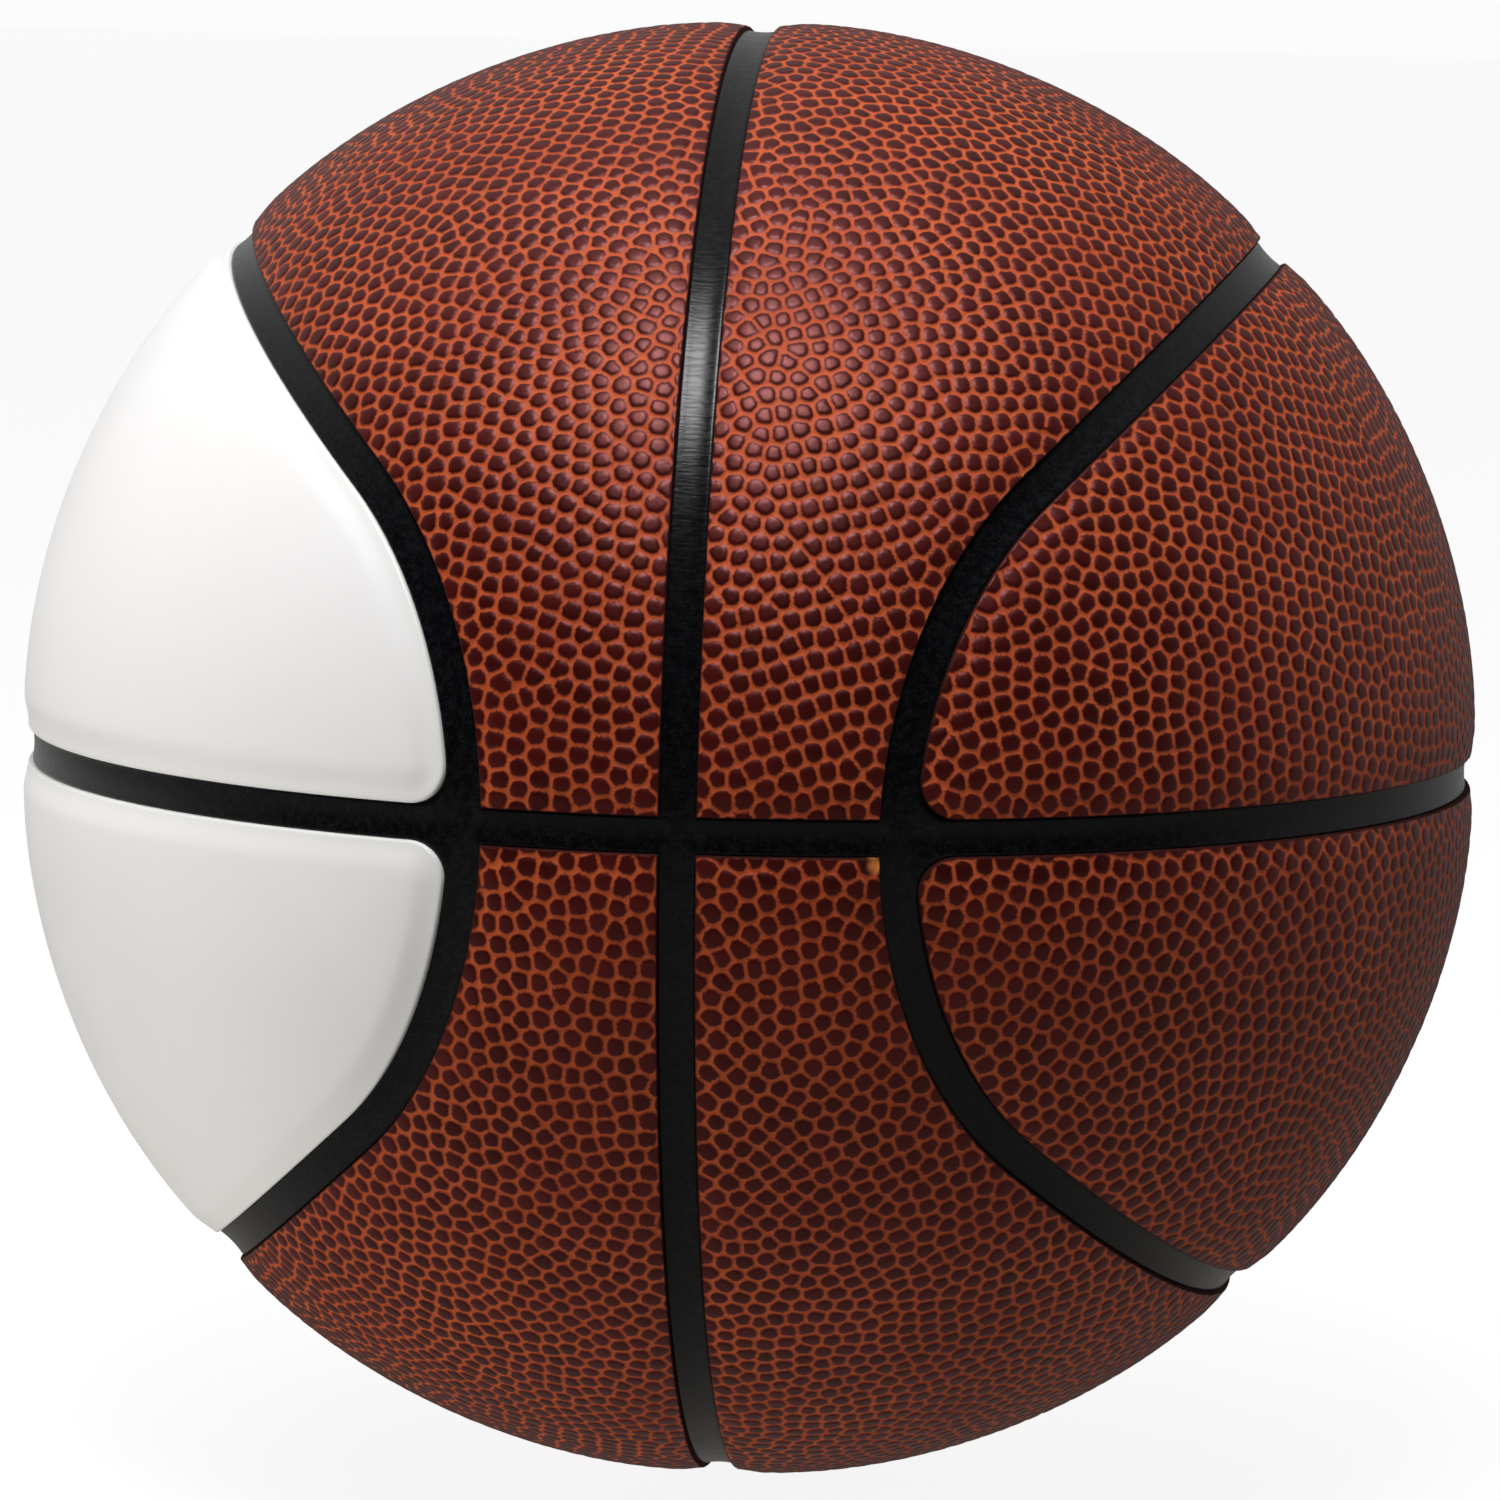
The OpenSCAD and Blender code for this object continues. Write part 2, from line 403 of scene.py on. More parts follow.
    def outline(
        self, kind: Kind, inset: float, counts: Sequence[int], closing: bool = True
    ) -> Array:
        """Points of an outline in order, without repeating the first at the end.

        Args:
            kind: Shape of the panel.
            inset: Inset of the outline in millimetres.
            counts: Steps on each course.
            closing: Whether a middle panel's outline follows the valve notch.

        Returns:
            Unit vectors, one row each.
        """
        runs = self.runs(kind, inset, closing)
        parts = [run(np.linspace(0, 1, n, endpoint=False)) for run, n in zip(runs, counts)]
        if kind is Kind.MID and not closing:
            parts.append(runs[-1](np.ones(1)))
        return np.concatenate(parts)

    def course(self, kind: Kind, spacing: float) -> Callable:
        """Function from an inset to the closed outline there, anticlockwise from outside.

        Args:
            kind: Shape of the panel.
            spacing: Distance between points in millimetres.

        Returns:
            The function.
        """
        counts = self.counts(kind, spacing)
        left = runs_left(self.outline(kind, 0.0, counts), self.centre(kind))
        return lambda inset: self.outline(kind, inset, counts)[:: 1 if left else -1]


# Mesh making


class Shell:
    """A mesh in the making: points in millimetres, triangles, and named values of points."""

    def __init__(self, *names: str) -> None:
        """Starts an empty mesh whose points carry the named values."""
        self.points: list[Array] = []
        self.faces: list[Array] = []
        self.values: dict[str, list[Array]] = {name: [] for name in names}
        self.total = 0

    def add(self, points: Array, **values: Array | float) -> Array:
        """Adds points and gives their numbers.

        Args:
            points: Points in millimetres.
            values: Value of each point, or one for all, by its name.

        Returns:
            Numbers of the points.
        """
        start, self.total = self.total, self.total + len(points)
        self.points.append(points)
        for name, parts in self.values.items():
            parts.append(np.broadcast_to(values.get(name, 0.0), len(points)).astype(float))
        return np.arange(start, self.total)

    def strip(self, outer: Array, inner: Array, closed: bool = True) -> None:
        """Joins two rows of points, the inner row on the left of the outer one's course.

        Args:
            outer: Numbers of the outer row's points.
            inner: Numbers of the inner row's points.
            closed: Whether the rows run round.
        """
        a, b, c, d = outer, inner, np.roll(inner, -1), np.roll(outer, -1)
        end = len(outer) if closed else -1
        self.faces.append(np.stack([a, d, c], axis=1)[:end])
        self.faces.append(np.stack([a, c, b], axis=1)[:end])

    def grid(self, rows: Sequence[Array]) -> None:
        """Joins rows of points, each of which runs round and closes."""
        for low, high in zip(rows[:-1], rows[1:]):
            self.strip(low, high)

    def lay(self, rim: Array, inside: Array, faces: Array) -> None:
        """Adds faces that count the rim's points first and then the inside ones."""
        self.faces.append(np.concatenate([rim, inside])[faces])

    def arrays(self) -> tuple[Array, Array, dict[str, Array]]:
        """All points, faces and values so far."""
        values = {name: np.concatenate(parts) for name, parts in self.values.items()}
        return np.concatenate(self.points), np.concatenate(self.faces), values


def within(points: Array, border: Array) -> Array:
    """Whether flat points lie in a closed border, by how many edges are above each.

    Args:
        points: Points in the plane.
        border: Points of the border in order.

    Returns:
        True for each point that lies inside.
    """
    low, high = border, np.roll(border, -1, axis=0)
    x, y = points[:, :1], points[:, 1:]
    spans = (low[:, 0] > x) != (high[:, 0] > x)
    run = np.where(high[:, 0] == low[:, 0], 1.0, high[:, 0] - low[:, 0])
    level = low[:, 1] + (x - low[:, 0]) * (high[:, 1] - low[:, 1]) / run
    return (spans & (level > y)).sum(axis=1) % 2 == 1


def fill(boundary: Array, inside: Array, centre: Array) -> Array:
    """Triangles over a part of the sphere.

    The points are projected from the far side of the sphere onto a plane, p = (u.e1, u.e2) /
    (1 + u.centre), which keeps circles circles, so that the flat Delaunay triangles are the
    sphere's own.

    Args:
        boundary: Unit vectors of the closed border in order.
        inside: Unit vectors within the border.
        centre: Direction near the middle.

    Returns:
        Faces that count the border's points first, wound to face outwards.
    """
    same_place, no_area = 1e-9, 1e-14
    side = unit(np.cross([0.0, 1.0, 0.0], centre))
    up = np.cross(centre, side)
    u = np.concatenate([boundary, inside])
    flat = np.stack([u @ side, u @ up], axis=1) / (1 + u @ centre)[:, None]
    n = len(boundary)
    edges = [(i, (i + 1) % n) for i in range(n)]
    made = delaunay_2d_cdt([Vector(p) for p in flat.tolist()], edges, [], 1, same_place, True)
    origin = np.array([ids[0] for ids in made[3]])
    faces = origin[np.array([f for f in made[2] if len(f) == 3])]
    a, b, c = flat[faces[:, 0]], flat[faces[:, 1]], flat[faces[:, 2]]
    area = (b[:, 0] - a[:, 0]) * (c[:, 1] - a[:, 1]) - (b[:, 1] - a[:, 1]) * (c[:, 0] - a[:, 0])
    faces, area = faces[np.abs(area) > no_area], area[np.abs(area) > no_area]
    faces = np.where((area > 0)[:, None], faces, faces[:, ::-1])
    rim = (faces < n).all(axis=1)
    rim[rim] = ~within(flat[faces[rim]].mean(axis=1), flat[:n])
    return faces[~rim]


def uncollapsed(faces: Array) -> Array:
    """Faces whose three corners are different points."""
    return faces[(faces != np.roll(faces, -1, axis=1)).all(axis=1)]


def weld(points: Array, faces: Array, digits: int = 5) -> tuple[Array, Array, Array, Array]:
    """Merges points that round to the same place and drops faces that collapse.

    Args:
        points: Points in millimetres.
        faces: Triangles.
        digits: Decimals that the places are rounded to.

    Returns:
        The kept points, the faces, the numbers of the kept points in the old list, and the
        new number of each old point.
    """
    key = np.round(points, digits) + 0.0
    _, first, back = np.unique(key, axis=0, return_index=True, return_inverse=True)
    back = back.reshape(-1)
    return points[first], uncollapsed(back[faces]), first, back


def make_object(
    name: str,
    points: Array,
    faces: Array,
    values: dict[str, Array] | None = None,
    crease: float = 50.0,
) -> bpy.types.Object:
    """Puts a triangle mesh into the scene.

    Args:
        name: Name of the object and of its mesh.
        points: Points in millimetres.
        faces: Triangles that face outwards.
        values: Named numbers of the points.
        crease: Angle in degrees above which an edge stays sharp.

    Returns:
        The new object, at the origin.
    """
    mesh = bpy.data.meshes.new(name)
    mesh.vertices.add(len(points))
    mesh.vertices.foreach_set("co", (points * MM).astype(np.float32).ravel())
    mesh.loops.add(faces.size)
    mesh.loops.foreach_set("vertex_index", faces.astype(np.int32).ravel())
    mesh.polygons.add(len(faces))
    mesh.polygons.foreach_set("loop_start", np.arange(0, faces.size, 3, dtype=np.int32))
    mesh.update(calc_edges=True)
    for key, numbers in (values or {}).items():
        layer = mesh.attributes.new(key, "FLOAT", "POINT")
        layer.data.foreach_set("value", numbers.astype(np.float32))
    mesh.shade_smooth()
    mesh.set_sharp_from_angle(angle=math.radians(crease))
    made = bpy.data.objects.new(name, mesh)
    bpy.context.scene.collection.objects.link(made)
    return made


def hand_over(
    piece: bpy.types.Object,
    node: str,
    material: bpy.types.Material,
    body: str = "ball",
) -> None:
    """Gives a piece its material and body, and hides the solid that it stands for.

    Args:
        piece: The dressed object.
        node: Name of the solid.
        material: Its material.
        body: Name of the body that it rides on.
    """
    piece.data.materials.append(material)
    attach(piece, body)
    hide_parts(node)
    LOG.info("%s: %d triangles", piece.name, len(piece.data.polygons))


# Pebbles


@dataclass(frozen=True)
class PebbleSize:
    """Sizes of the moulded pebbles, in millimetres; shares are of the pitch or the foot.

    floor is half a valley's width, wall the run of a pebble's side and relief its height.
    """

    pitch: float = 3.2
    jitter: float = 0.76
    spread: float = 0.07
    floor: float = 0.12
    wall: float = 0.36
    relief: float = 0.28
    roundness: float = 8.5
    least_foot: float = 0.25
    least_core: float = 0.3
    corners: int = 13
    core_corners: int = 6
    shoulder_height: float = 0.82
    core_height: float = 0.97
    lift_spread: float = 0.12
    shoulder_share: float = 0.45
    core_share: float = 0.52
    crown_start: float = 0.34
    crown_end: float = 1.2
    deepest_wall: float = 2.0
    plane_band: float = 0.04
    margin_share: float = 2.6
    kept_share: float = 1.5
    wish_share: float = 1.18
    push: float = 0.12
    relax_rounds: int = 30
    relax_refresh: int = 6
    relax_neighbours: int = 12
    neighbours: int = 9
    rim_band: float = 7.0


class Pebbles:
    """The pebbles of one cover panel.

    Their places are an even spread that was jittered and then pushed apart. Each has a foot
    whose radius in direction t is (sum over neighbours of (cos(t - t_j) / a_j)^p)^(-1/p),
    a polygon with rounded corners, where a_j is the distance to the valley that it shares
    with neighbour j.
    """

    def __init__(
        self, size: PebbleSize, layout: Layout, kind: Kind, rng: np.random.Generator
    ) -> None:
        """Spreads the pebbles over a panel and just over its edge.

        Args:
            size: Sizes of the pebbles.
            layout: Courses of the channels.
            kind: Shape of the panel.
            rng: Source of the random draws.
        """
        self.size = size
        self.radius = layout.field_r
        spots = sunflower(size.pitch, self.radius, random_turn(rng))
        near_plane = (np.abs(spots[:, ::2]) < size.plane_band).any(axis=1)
        spots = spots[(spots[:, 0] > 0) & (spots[:, 2] > 0) | near_plane]
        spots = unit(spots + rng.normal(size=spots.shape) * size.jitter / self.radius)
        signed = self._signed_inset(layout, kind, spots)
        spots = self._relax(spots[signed > -size.pitch * size.margin_share])
        signed = self._signed_inset(layout, kind, spots)
        spots = spots[signed > -size.pitch * size.kept_share]
        self.centres = spots
        self.inset = self._signed_inset(layout, kind, spots)
        self.tone = rng.random(len(spots))
        self.lift = 1 - size.lift_spread * rng.random(len(spots))
        weight = np.exp(size.spread * rng.normal(size=len(spots)))
        self.east = unit(np.cross(spots, TILT))
        self.north = np.cross(spots, self.east)
        near, gaps = self._nearest(spots, size.neighbours)
        vectors = spots[near] - spots[:, None, :]
        self.bearing = np.arctan2(
            np.einsum("nkc,nc->nk", vectors, self.north),
            np.einsum("nkc,nc->nk", vectors, self.east),
        )
        share = weight[:, None] / (weight[:, None] + weight[near])
        self.limit = np.maximum(gaps * share - size.floor, size.least_foot)
        self.turn = rng.random(len(spots)) * FULL_TURN

    @staticmethod
    def _signed_inset(layout: Layout, kind: Kind, spots: Array) -> Array:
        """Inset that goes on falling across the planes that bound the quadrant.

        Args:
            layout: Courses of the channels.
            kind: Shape of the panel.
            spots: Unit vectors.

        Returns:
            Insets in millimetres.
        """
        edges = layout.distances(kind, spots)
        parts = [layout.field_r * spots[:, 2] - layout.half_width, edges[:, 1]]
        if kind is Kind.MID:
            parts += [layout.field_r * spots[:, 0] - layout.half_width, edges[:, 3]]
        return np.minimum.reduce(parts)

    def _nearest(self, spots: Array, count: int) -> tuple[Array, Array]:
        """Numbers and distances of the nearest other spots.

        Args:
            spots: Unit vectors.
            count: How many to find.

        Returns:
            Numbers and distances in millimetres, one row for each spot.
        """
        chord = np.sqrt(np.maximum(2 - 2 * spots @ spots.T, 0)) * self.radius
        np.fill_diagonal(chord, np.inf)
        near = np.argpartition(chord, count, axis=1)[:, :count]
        return near, np.take_along_axis(chord, near, axis=1)

    def _relax(self, spots: Array) -> Array:
        """Pushes spots apart where they stand closer than the wished distance.

        Args:
            spots: Unit vectors.

        Returns:
            The moved spots.
        """
        size = self.size
        wish = size.pitch * size.wish_share / self.radius
        for turn in range(size.relax_rounds):
            if turn % size.relax_refresh == 0:
                near, _ = self._nearest(spots, size.relax_neighbours)
            away = spots[:, None, :] - spots[near]
            gaps = np.linalg.norm(away, axis=2, keepdims=True)
            push = np.maximum(wish - gaps, 0) * size.push
            spots = unit(spots + (away / gaps * push).sum(axis=1))
        return spots

    def foot(self, index: Array, angle: Array) -> Array:
        """Radius of the feet of numbered pebbles in given directions.

        Args:
            index: Numbers of the pebbles.
            angle: Directions round their centres.

        Returns:
            Radii in millimetres.
        """
        p = self.size.roundness
        swing = angle[..., None] - self.bearing[index]
        lean = np.maximum(np.cos(swing), 0.0) / self.limit[index]
        return np.maximum((lean**p).sum(axis=-1), 1e-9) ** (-1 / p)

    def _at(self, angle: Array, reach: Array) -> Array:
        """Directions at a distance from every pebble's centre.

        Args:
            angle: Directions round the centres.
            reach: Distances in millimetres.

        Returns:
            Unit vectors.
        """
        swing = (
            np.cos(angle)[..., None] * self.east[:, None, :]
            + np.sin(angle)[..., None] * self.north[:, None, :]
        )
        return unit(self.centres[:, None, :] + swing * (reach / self.radius)[..., None])

    def _wall(self, depth: Array) -> Array:
        """Share of the way up a pebble's side, going on over its top."""
        return np.clip(depth / self.size.wall, 0, self.size.deepest_wall)

    def rings(self) -> tuple[Array, dict[str, Array]]:
        """Points on all pebbles: foot, shoulder, core and centre.

        Returns:
            Unit vectors, and the values height, wall and tone of each.
        """
        size = self.size
        index = np.arange(len(self.centres))[:, None]
        found, height, wall, tone = [], [], [], []

        def ring(angle: Array, reach: Array, level: float) -> None:
            """Adds one ring of points to every pebble."""
            found.append(self._at(angle, reach).reshape(-1, 3))
            height.append((np.full(reach.shape, level) * self.lift[:, None]).ravel())
            wall.append(self._wall(self.foot(index, angle) - reach).ravel())
            tone.append(np.broadcast_to(self.tone[:, None], reach.shape).ravel())

        around = np.arange(size.corners) * FULL_TURN / size.corners + self.turn[:, None]
        foot = self.foot(index, around)
        ring(around, foot, 0.0)
        shoulder = np.maximum(foot - size.wall, size.shoulder_share * foot)
        ring(around, shoulder, size.shoulder_height)
        inner = np.arange(size.core_corners) * FULL_TURN / size.core_corners
        inner = inner + self.turn[:, None]
        core = np.maximum(self.foot(index, inner) - size.wall, size.least_core)
        ring(inner, core * size.core_share, size.core_height)
        ring(inner[:, :1], 0 * core[:, :1], 1.0)
        values = {"height": height, "wall": wall, "tone": tone}
        return np.concatenate(found), {k: np.concatenate(v) for k, v in values.items()}

    def sample(self, u: Array) -> dict[str, Array]:
        """Height, wall and tone of the pebbles at any directions near the panel's edge.

        Args:
            u: Unit vectors.

        Returns:
            The values by their names.
        """
        size = self.size
        close = np.flatnonzero(self.inset < size.rim_band)
        best = close[np.argmax(u @ self.centres[close].T, axis=1)]
        offset = u - self.centres[best]
        along, up = (offset * self.east[best]).sum(axis=1), (offset * self.north[best]).sum(axis=1)
        reach = np.linalg.norm(offset, axis=1) * self.radius
        depth = self.foot(best, np.arctan2(up, along)) - reach
        side = np.clip(depth / size.wall, 0, 1) * size.shoulder_height
        crown = (1 - size.shoulder_height) * soft_step(depth, size.crown_start, size.crown_end)
        height = np.where(depth < size.wall, side, size.shoulder_height + crown)
        height = height * self.lift[best]
        return {"height": height, "wall": self._wall(depth), "tone": self.tone[best]}


# Cover panels


@dataclass(frozen=True)
class CoverShape:
    """Cross-section of a cover panel, in millimetres.

    From the edge inwards the skin turns over a small roll, runs level, climbs a step and then
    rises slowly to the middle. The row insets are those of the rows of points along the edge,
    and the pebbles' dips fade in over fade_run.
    """

    edge_r: float
    rise: float
    rise_run: float
    roll: float
    step: float
    step_start: float
    step_end: float
    row_insets: tuple[float, ...]
    fade_run: float = 0.3
    under_r: float = 118.1
    foot_r: float = 116.3
    edge_wall: float = 1.2
    row_gap: float = 0.25
    under_pitch: float = 5.0
    under_gap: float = 2.0
    crease: float = 70.0


PEBBLED_SHAPE = CoverShape(
    edge_r=118.6,
    rise=0.72,
    rise_run=9.0,
    roll=0.38,
    step=0.3,
    step_start=0.3,
    step_end=4.5,
    row_insets=(0.0, 0.05, 0.14, 0.28, 0.45, 0.62),
)
SMOOTH_SHAPE = CoverShape(
    edge_r=118.4,
    rise=0.75,
    rise_run=11.0,
    roll=0.4,
    step=0.68,
    step_start=1.2,
    step_end=5.4,
    row_insets=(0.0, 0.04, 0.12, 0.25, 0.45, 0.75, 1.1, 1.5, 2.0, 2.6, 3.3, 4.0, 4.6),
)
LOWER_SMOOTH_SHAPE = replace(SMOOTH_SHAPE, step_start=0.1, step_end=4.8)


@dataclass
class CoverPanel:
    """One cover panel: a crowned skin whose edges roll down into the channels."""

    layout: Layout
    kind: Kind
    quadrant: Quadrant
    shape: CoverShape
    seed: int
    pebble: PebbleSize | None = None
    spacing: float = 0.55
    smooth_pitch: float = 1.2
    least_distance: float = 0.02

    def crown(self, u: Array) -> Array:
        """Radius of the pebble tops or of the smooth skin before the edge rolls down.

        The distances from the edges are joined as (sum of 1 / d^3)^(-1/3). The radius rises
        with that as 1 - exp(-d / run), and by the step's height where the nearest edge is
        farther than the step.
        """
        shape = self.shape
        edges = np.maximum(self.layout.distances(self.kind, u), self.least_distance)
        if self.kind is Kind.MID:
            edges = np.delete(edges, 1, axis=1)
        soft = (edges**-3.0).sum(axis=1) ** (-1 / 3)
        puff = shape.rise * (1 - np.exp(-soft / shape.rise_run))
        near = self.layout.inset_of(self.kind, u)
        climb = shape.step * soft_step(near, shape.step_start, shape.step_end)
        return shape.edge_r + puff + climb

    def _roll(self, inset: float) -> float:
        """Drop of the rolled edge at an inset, a quarter of a circle."""
        short = max(self.shape.roll - inset, 0.0)
        return self.shape.roll - math.sqrt(self.shape.roll**2 - short**2)

    @staticmethod
    def _plain(count: int) -> dict[str, Array]:
        """Values of points on a skin without pebbles."""
        return {"height": np.ones(count), "wall": np.ones(count), "tone": np.full(count, 0.5)}

    def build(self, name: str) -> bpy.types.Object:
        """Makes the closed mesh: rows along the edge, the skin and the underside.

        Args:
            name: Name of the object.

        Returns:
            The new object.
        """
        shape, layout, kind = self.shape, self.layout, self.kind
        rng = np.random.default_rng(self.seed)
        pebbles = Pebbles(self.pebble, layout, kind, rng) if self.pebble else None
        relief = self.pebble.relief if self.pebble else 0.0
        centre = layout.centre(kind)
        outline = layout.course(kind, self.spacing)
        shell = Shell("wall", "tone", "inset")
        inner = outline(shape.edge_wall)
        rows = [
            shell.add(inner * shape.under_r, inset=shape.edge_wall),
            shell.add(inner * shape.foot_r, inset=shape.edge_wall),
            shell.add(outline(0.0) * shape.foot_r),
        ]
        for inset in shape.row_insets:
            u = outline(inset)
            marks = pebbles.sample(u) if pebbles else self._plain(len(u))
            fade = float(soft_step(np.array(inset), 0.0, shape.fade_run))
            dip = relief * (1 - marks["height"]) * fade
            radius = self.crown(u) - dip - self._roll(inset)
            points = u * radius[:, None]
            rows.append(shell.add(points, wall=marks["wall"], tone=marks["tone"], inset=inset))
        shell.grid(rows)

        if pebbles:
            inside, marks = pebbles.rings()
        else:
            inside = sunflower(self.smooth_pitch, layout.field_r, random_turn(rng))
            marks = self._plain(len(inside))
        depth = layout.inset_of(kind, inside)
        own = (inside[:, 0] > 0) & (inside[:, 2] > 0)
        own &= depth > shape.row_insets[-1] + shape.row_gap
        inside, depth = inside[own], depth[own]
        marks = {key: value[own] for key, value in marks.items()}
        radius = self.crown(inside) - relief * (1 - marks["height"])
        points = inside * radius[:, None]
        skin = shell.add(points, wall=marks["wall"], tone=marks["tone"], inset=depth)
        shell.lay(rows[-1], skin, fill(outline(shape.row_insets[-1]), inside, centre))

        under = layout.spread(kind, shape.under_pitch, shape.edge_wall + shape.under_gap)
        bottom = shell.add(under * shape.under_r, inset=shape.edge_wall)
        shell.lay(rows[0], bottom, fill(inner, under, centre)[:, ::-1])
        points, faces, values = shell.arrays()
        points, faces = self.quadrant.place(points), self.quadrant.wind(faces)
        return make_object(name, points, faces, values, shape.crease)


# Pads


@dataclass
class CushionPad:
    """Sponge pad in the pocket under a cover panel, with a softly rounded rim."""

    layout: Layout
    kind: Kind
    quadrant: Quadrant
    inset: float = 1.35
    low_r: float = 116.32
    high_r: float = 117.98
    spacing: float = 1.2
    pitch: float = 3.0
    rim_gap: float = 1.0
    rim_rows: int = 7
    sag: float = 0.18
    sag_waves: tuple[float, float, float] = (61.0, 47.0, 53.0)

    def build(self, name: str) -> bpy.types.Object:
        """Makes the closed mesh: a half-round rim between two fields of points.

        Args:
            name: Name of the object.

        Returns:
            The new object.
        """
        layout, kind = self.layout, self.kind
        outline = layout.course(kind, self.spacing)
        half = (self.high_r - self.low_r) / 2
        middle = (self.high_r + self.low_r) / 2
        shell = Shell("inset")
        rows = []
        for sweep in np.linspace(-math.pi / 2, math.pi / 2, self.rim_rows):
            inset = self.inset + half * (1 - math.cos(sweep))
            border = outline(inset)
            rows.append(shell.add(border * (middle + half * math.sin(sweep)), inset=inset))
        shell.grid(rows)
        inside = layout.spread(kind, self.pitch, self.inset + half + self.rim_gap)
        depth = layout.inset_of(kind, inside)
        faces = fill(border, inside, layout.centre(kind))
        dimple = self.sag * (0.5 + 0.5 * np.sin(inside @ np.array(self.sag_waves)))
        top = shell.add(inside * (self.high_r - dimple)[:, None], inset=depth)
        shell.lay(rows[-1], top, faces)
        low = shell.add(inside * self.low_r, inset=depth)
        shell.lay(rows[0], low, faces[:, ::-1])
        points, faces, values = shell.arrays()
        return make_object(name, self.quadrant.place(points), self.quadrant.wind(faces), values)


# Carcass with the channels


@dataclass
class Carcass:
    """Rubber carcass: recess floors, ribs that are the channels, and a smooth inside.

    A channel's floor is a little hollow: its radius is the middle's plus lip times the square
    of the share of the way to the rib's wall, and it rounds over at the wall.
    """

    layout: Layout
    middle_r: float = 117.42
    lip: float = 0.3
    rib_inset: float = -0.1
    round_over: float = 0.12
    round_share: float = 0.05
    floor_r: float = 116.2
    inside_r: float = 115.1
    spacing: float = 1.1
    floor_pitch: float = 5.0
    floor_gap: float = 1.5
    crease: float = 55.0
    row_shares: tuple[float, ...] = (0.0, 0.05, 0.16, 0.34, 0.56, 0.78, 1.0)

    def _radius(self, share: float) -> float:
        """Radius of the channel floor at a share of the way from the wall to the middle."""
        edge = math.exp(-((share / self.round_share) ** 2)) * self.round_over
        return self.middle_r + self.lip * (1 - share) ** 2 - edge

    def build(self, name: str) -> bpy.types.Object:
        """Makes the outer skin of eight mirrored parts, then its inner side and the hole.

        Args:
            name: Name of the object.

        Returns:
            The new object.
        """
        shell = Shell("across")
        for kind in Kind:
            points, faces, values = self._part(kind)
            for quadrant in QUADRANTS:
                start = shell.total
                shell.add(quadrant.place(points), **values)
                shell.faces.append(quadrant.wind(faces) + start)
        points, faces, values = shell.arrays()
        points, faces, kept, _ = weld(points, faces)
        return self._with_inside(name, points, faces, values["across"][kept])

    def _part(self, kind: Kind) -> tuple[Array, Array, dict[str, Array]]:
        """Recess floor of one panel and the half ribs round it, in the right top quadrant.

        Args:
            kind: Shape of the panel.

        Returns:
            Points in millimetres, faces, and the values of the points.
        """
        layout = self.layout
        centre = layout.centre(kind)
        opened = kind is Kind.MID
        counts = layout.counts(kind, self.spacing, closing=False)
        left = runs_left(layout.outline(kind, 0.0, counts, closing=False), centre)
        part = Shell("across")
        rows = []
        for share in self.row_shares:
            inset = self.rib_inset - (layout.half_width + self.rib_inset) * share
            u = layout.outline(kind, inset, counts, closing=False)
            rows.append(part.add(u * self._radius(share), across=layout.half_width + inset))
        border = layout.outline(kind, self.rib_inset, counts, closing=False)
        foot = part.add(border * self.floor_r, across=layout.half_width)
        for inner, outer in zip([foot, *rows[:-1]], rows):
            low, high = (outer, inner) if left else (outer[::-1], inner[::-1])
            part.strip(low, high, closed=not opened)
        if opened:
            arc = self._hole_arc(layout.counts(kind, self.spacing)[-1])
            border = np.concatenate([border, arc])
            foot = np.concatenate([foot, part.add(arc * self.floor_r, across=layout.half_width)])
        if not left:
            border, foot = border[::-1], foot[::-1]
        inside = layout.spread(kind, self.floor_pitch, self.floor_gap)
        numbers = part.add(inside * self.floor_r, across=layout.half_width)
        part.lay(foot, numbers, fill(border, inside, centre))
        return part.arrays()

    def _hole_arc(self, count: int) -> Array:
        """Points of the valve hole's edge between a middle panel's two ribs.

        Args:
            count: Steps along the edge.

        Returns:
            Unit vectors, one row each.
        """
        layout = self.layout
        notch = layout.notch_r / layout.field_r
        k = (layout.half_width + self.rib_inset) / layout.field_r
        side = math.sqrt(notch**2 - k * k)
        turn = np.linspace(math.atan2(side, k), math.atan2(k, side), count + 1)[1:-1]
        return layout.notch(notch, turn)

    def _with_inside(
        self, name: str, points: Array, faces: Array, across: Array
    ) -> bpy.types.Object:
        """Adds the inner side, every point moved in to one radius, and the hole's wall.

        Args:
            name: Name of the object.
            points: Points of the outer skin in millimetres.
            faces: Its triangles.
            across: Distance of each point from its channel's middle.

        Returns:
            The new object.
        """
        count = len(points)
        inner = unit(points) * self.inside_r
        inner, inner_faces, kept, back = weld(inner, faces[:, ::-1], 4)
        back = back + count
        edges = np.concatenate([faces[:, [0, 1]], faces[:, [1, 2]], faces[:, [2, 0]]])
        code = np.sort(edges, axis=1) @ np.array([count, 1])
        _, first, uses = np.unique(code, return_index=True, return_counts=True)
        rim = edges[first[uses == 1]]
        a, b = rim[:, 0], rim[:, 1]
        wall = np.stack([[b, a, back[a]], [b, back[a], back[b]]]).transpose(0, 2, 1)
        far = np.hypot(points[a, 0], points[a, 2])
        LOG.info("carcass rim: %d edges, at most %.2f mm from the valve", len(rim), far.max())
        faces = np.concatenate([faces, inner_faces + count, uncollapsed(wall.reshape(-1, 3))])
        points = np.concatenate([points, inner])
        values = {"across": np.concatenate([across, across[kept]])}
        return make_object(name, points, faces, values, self.crease)


# Thread winding


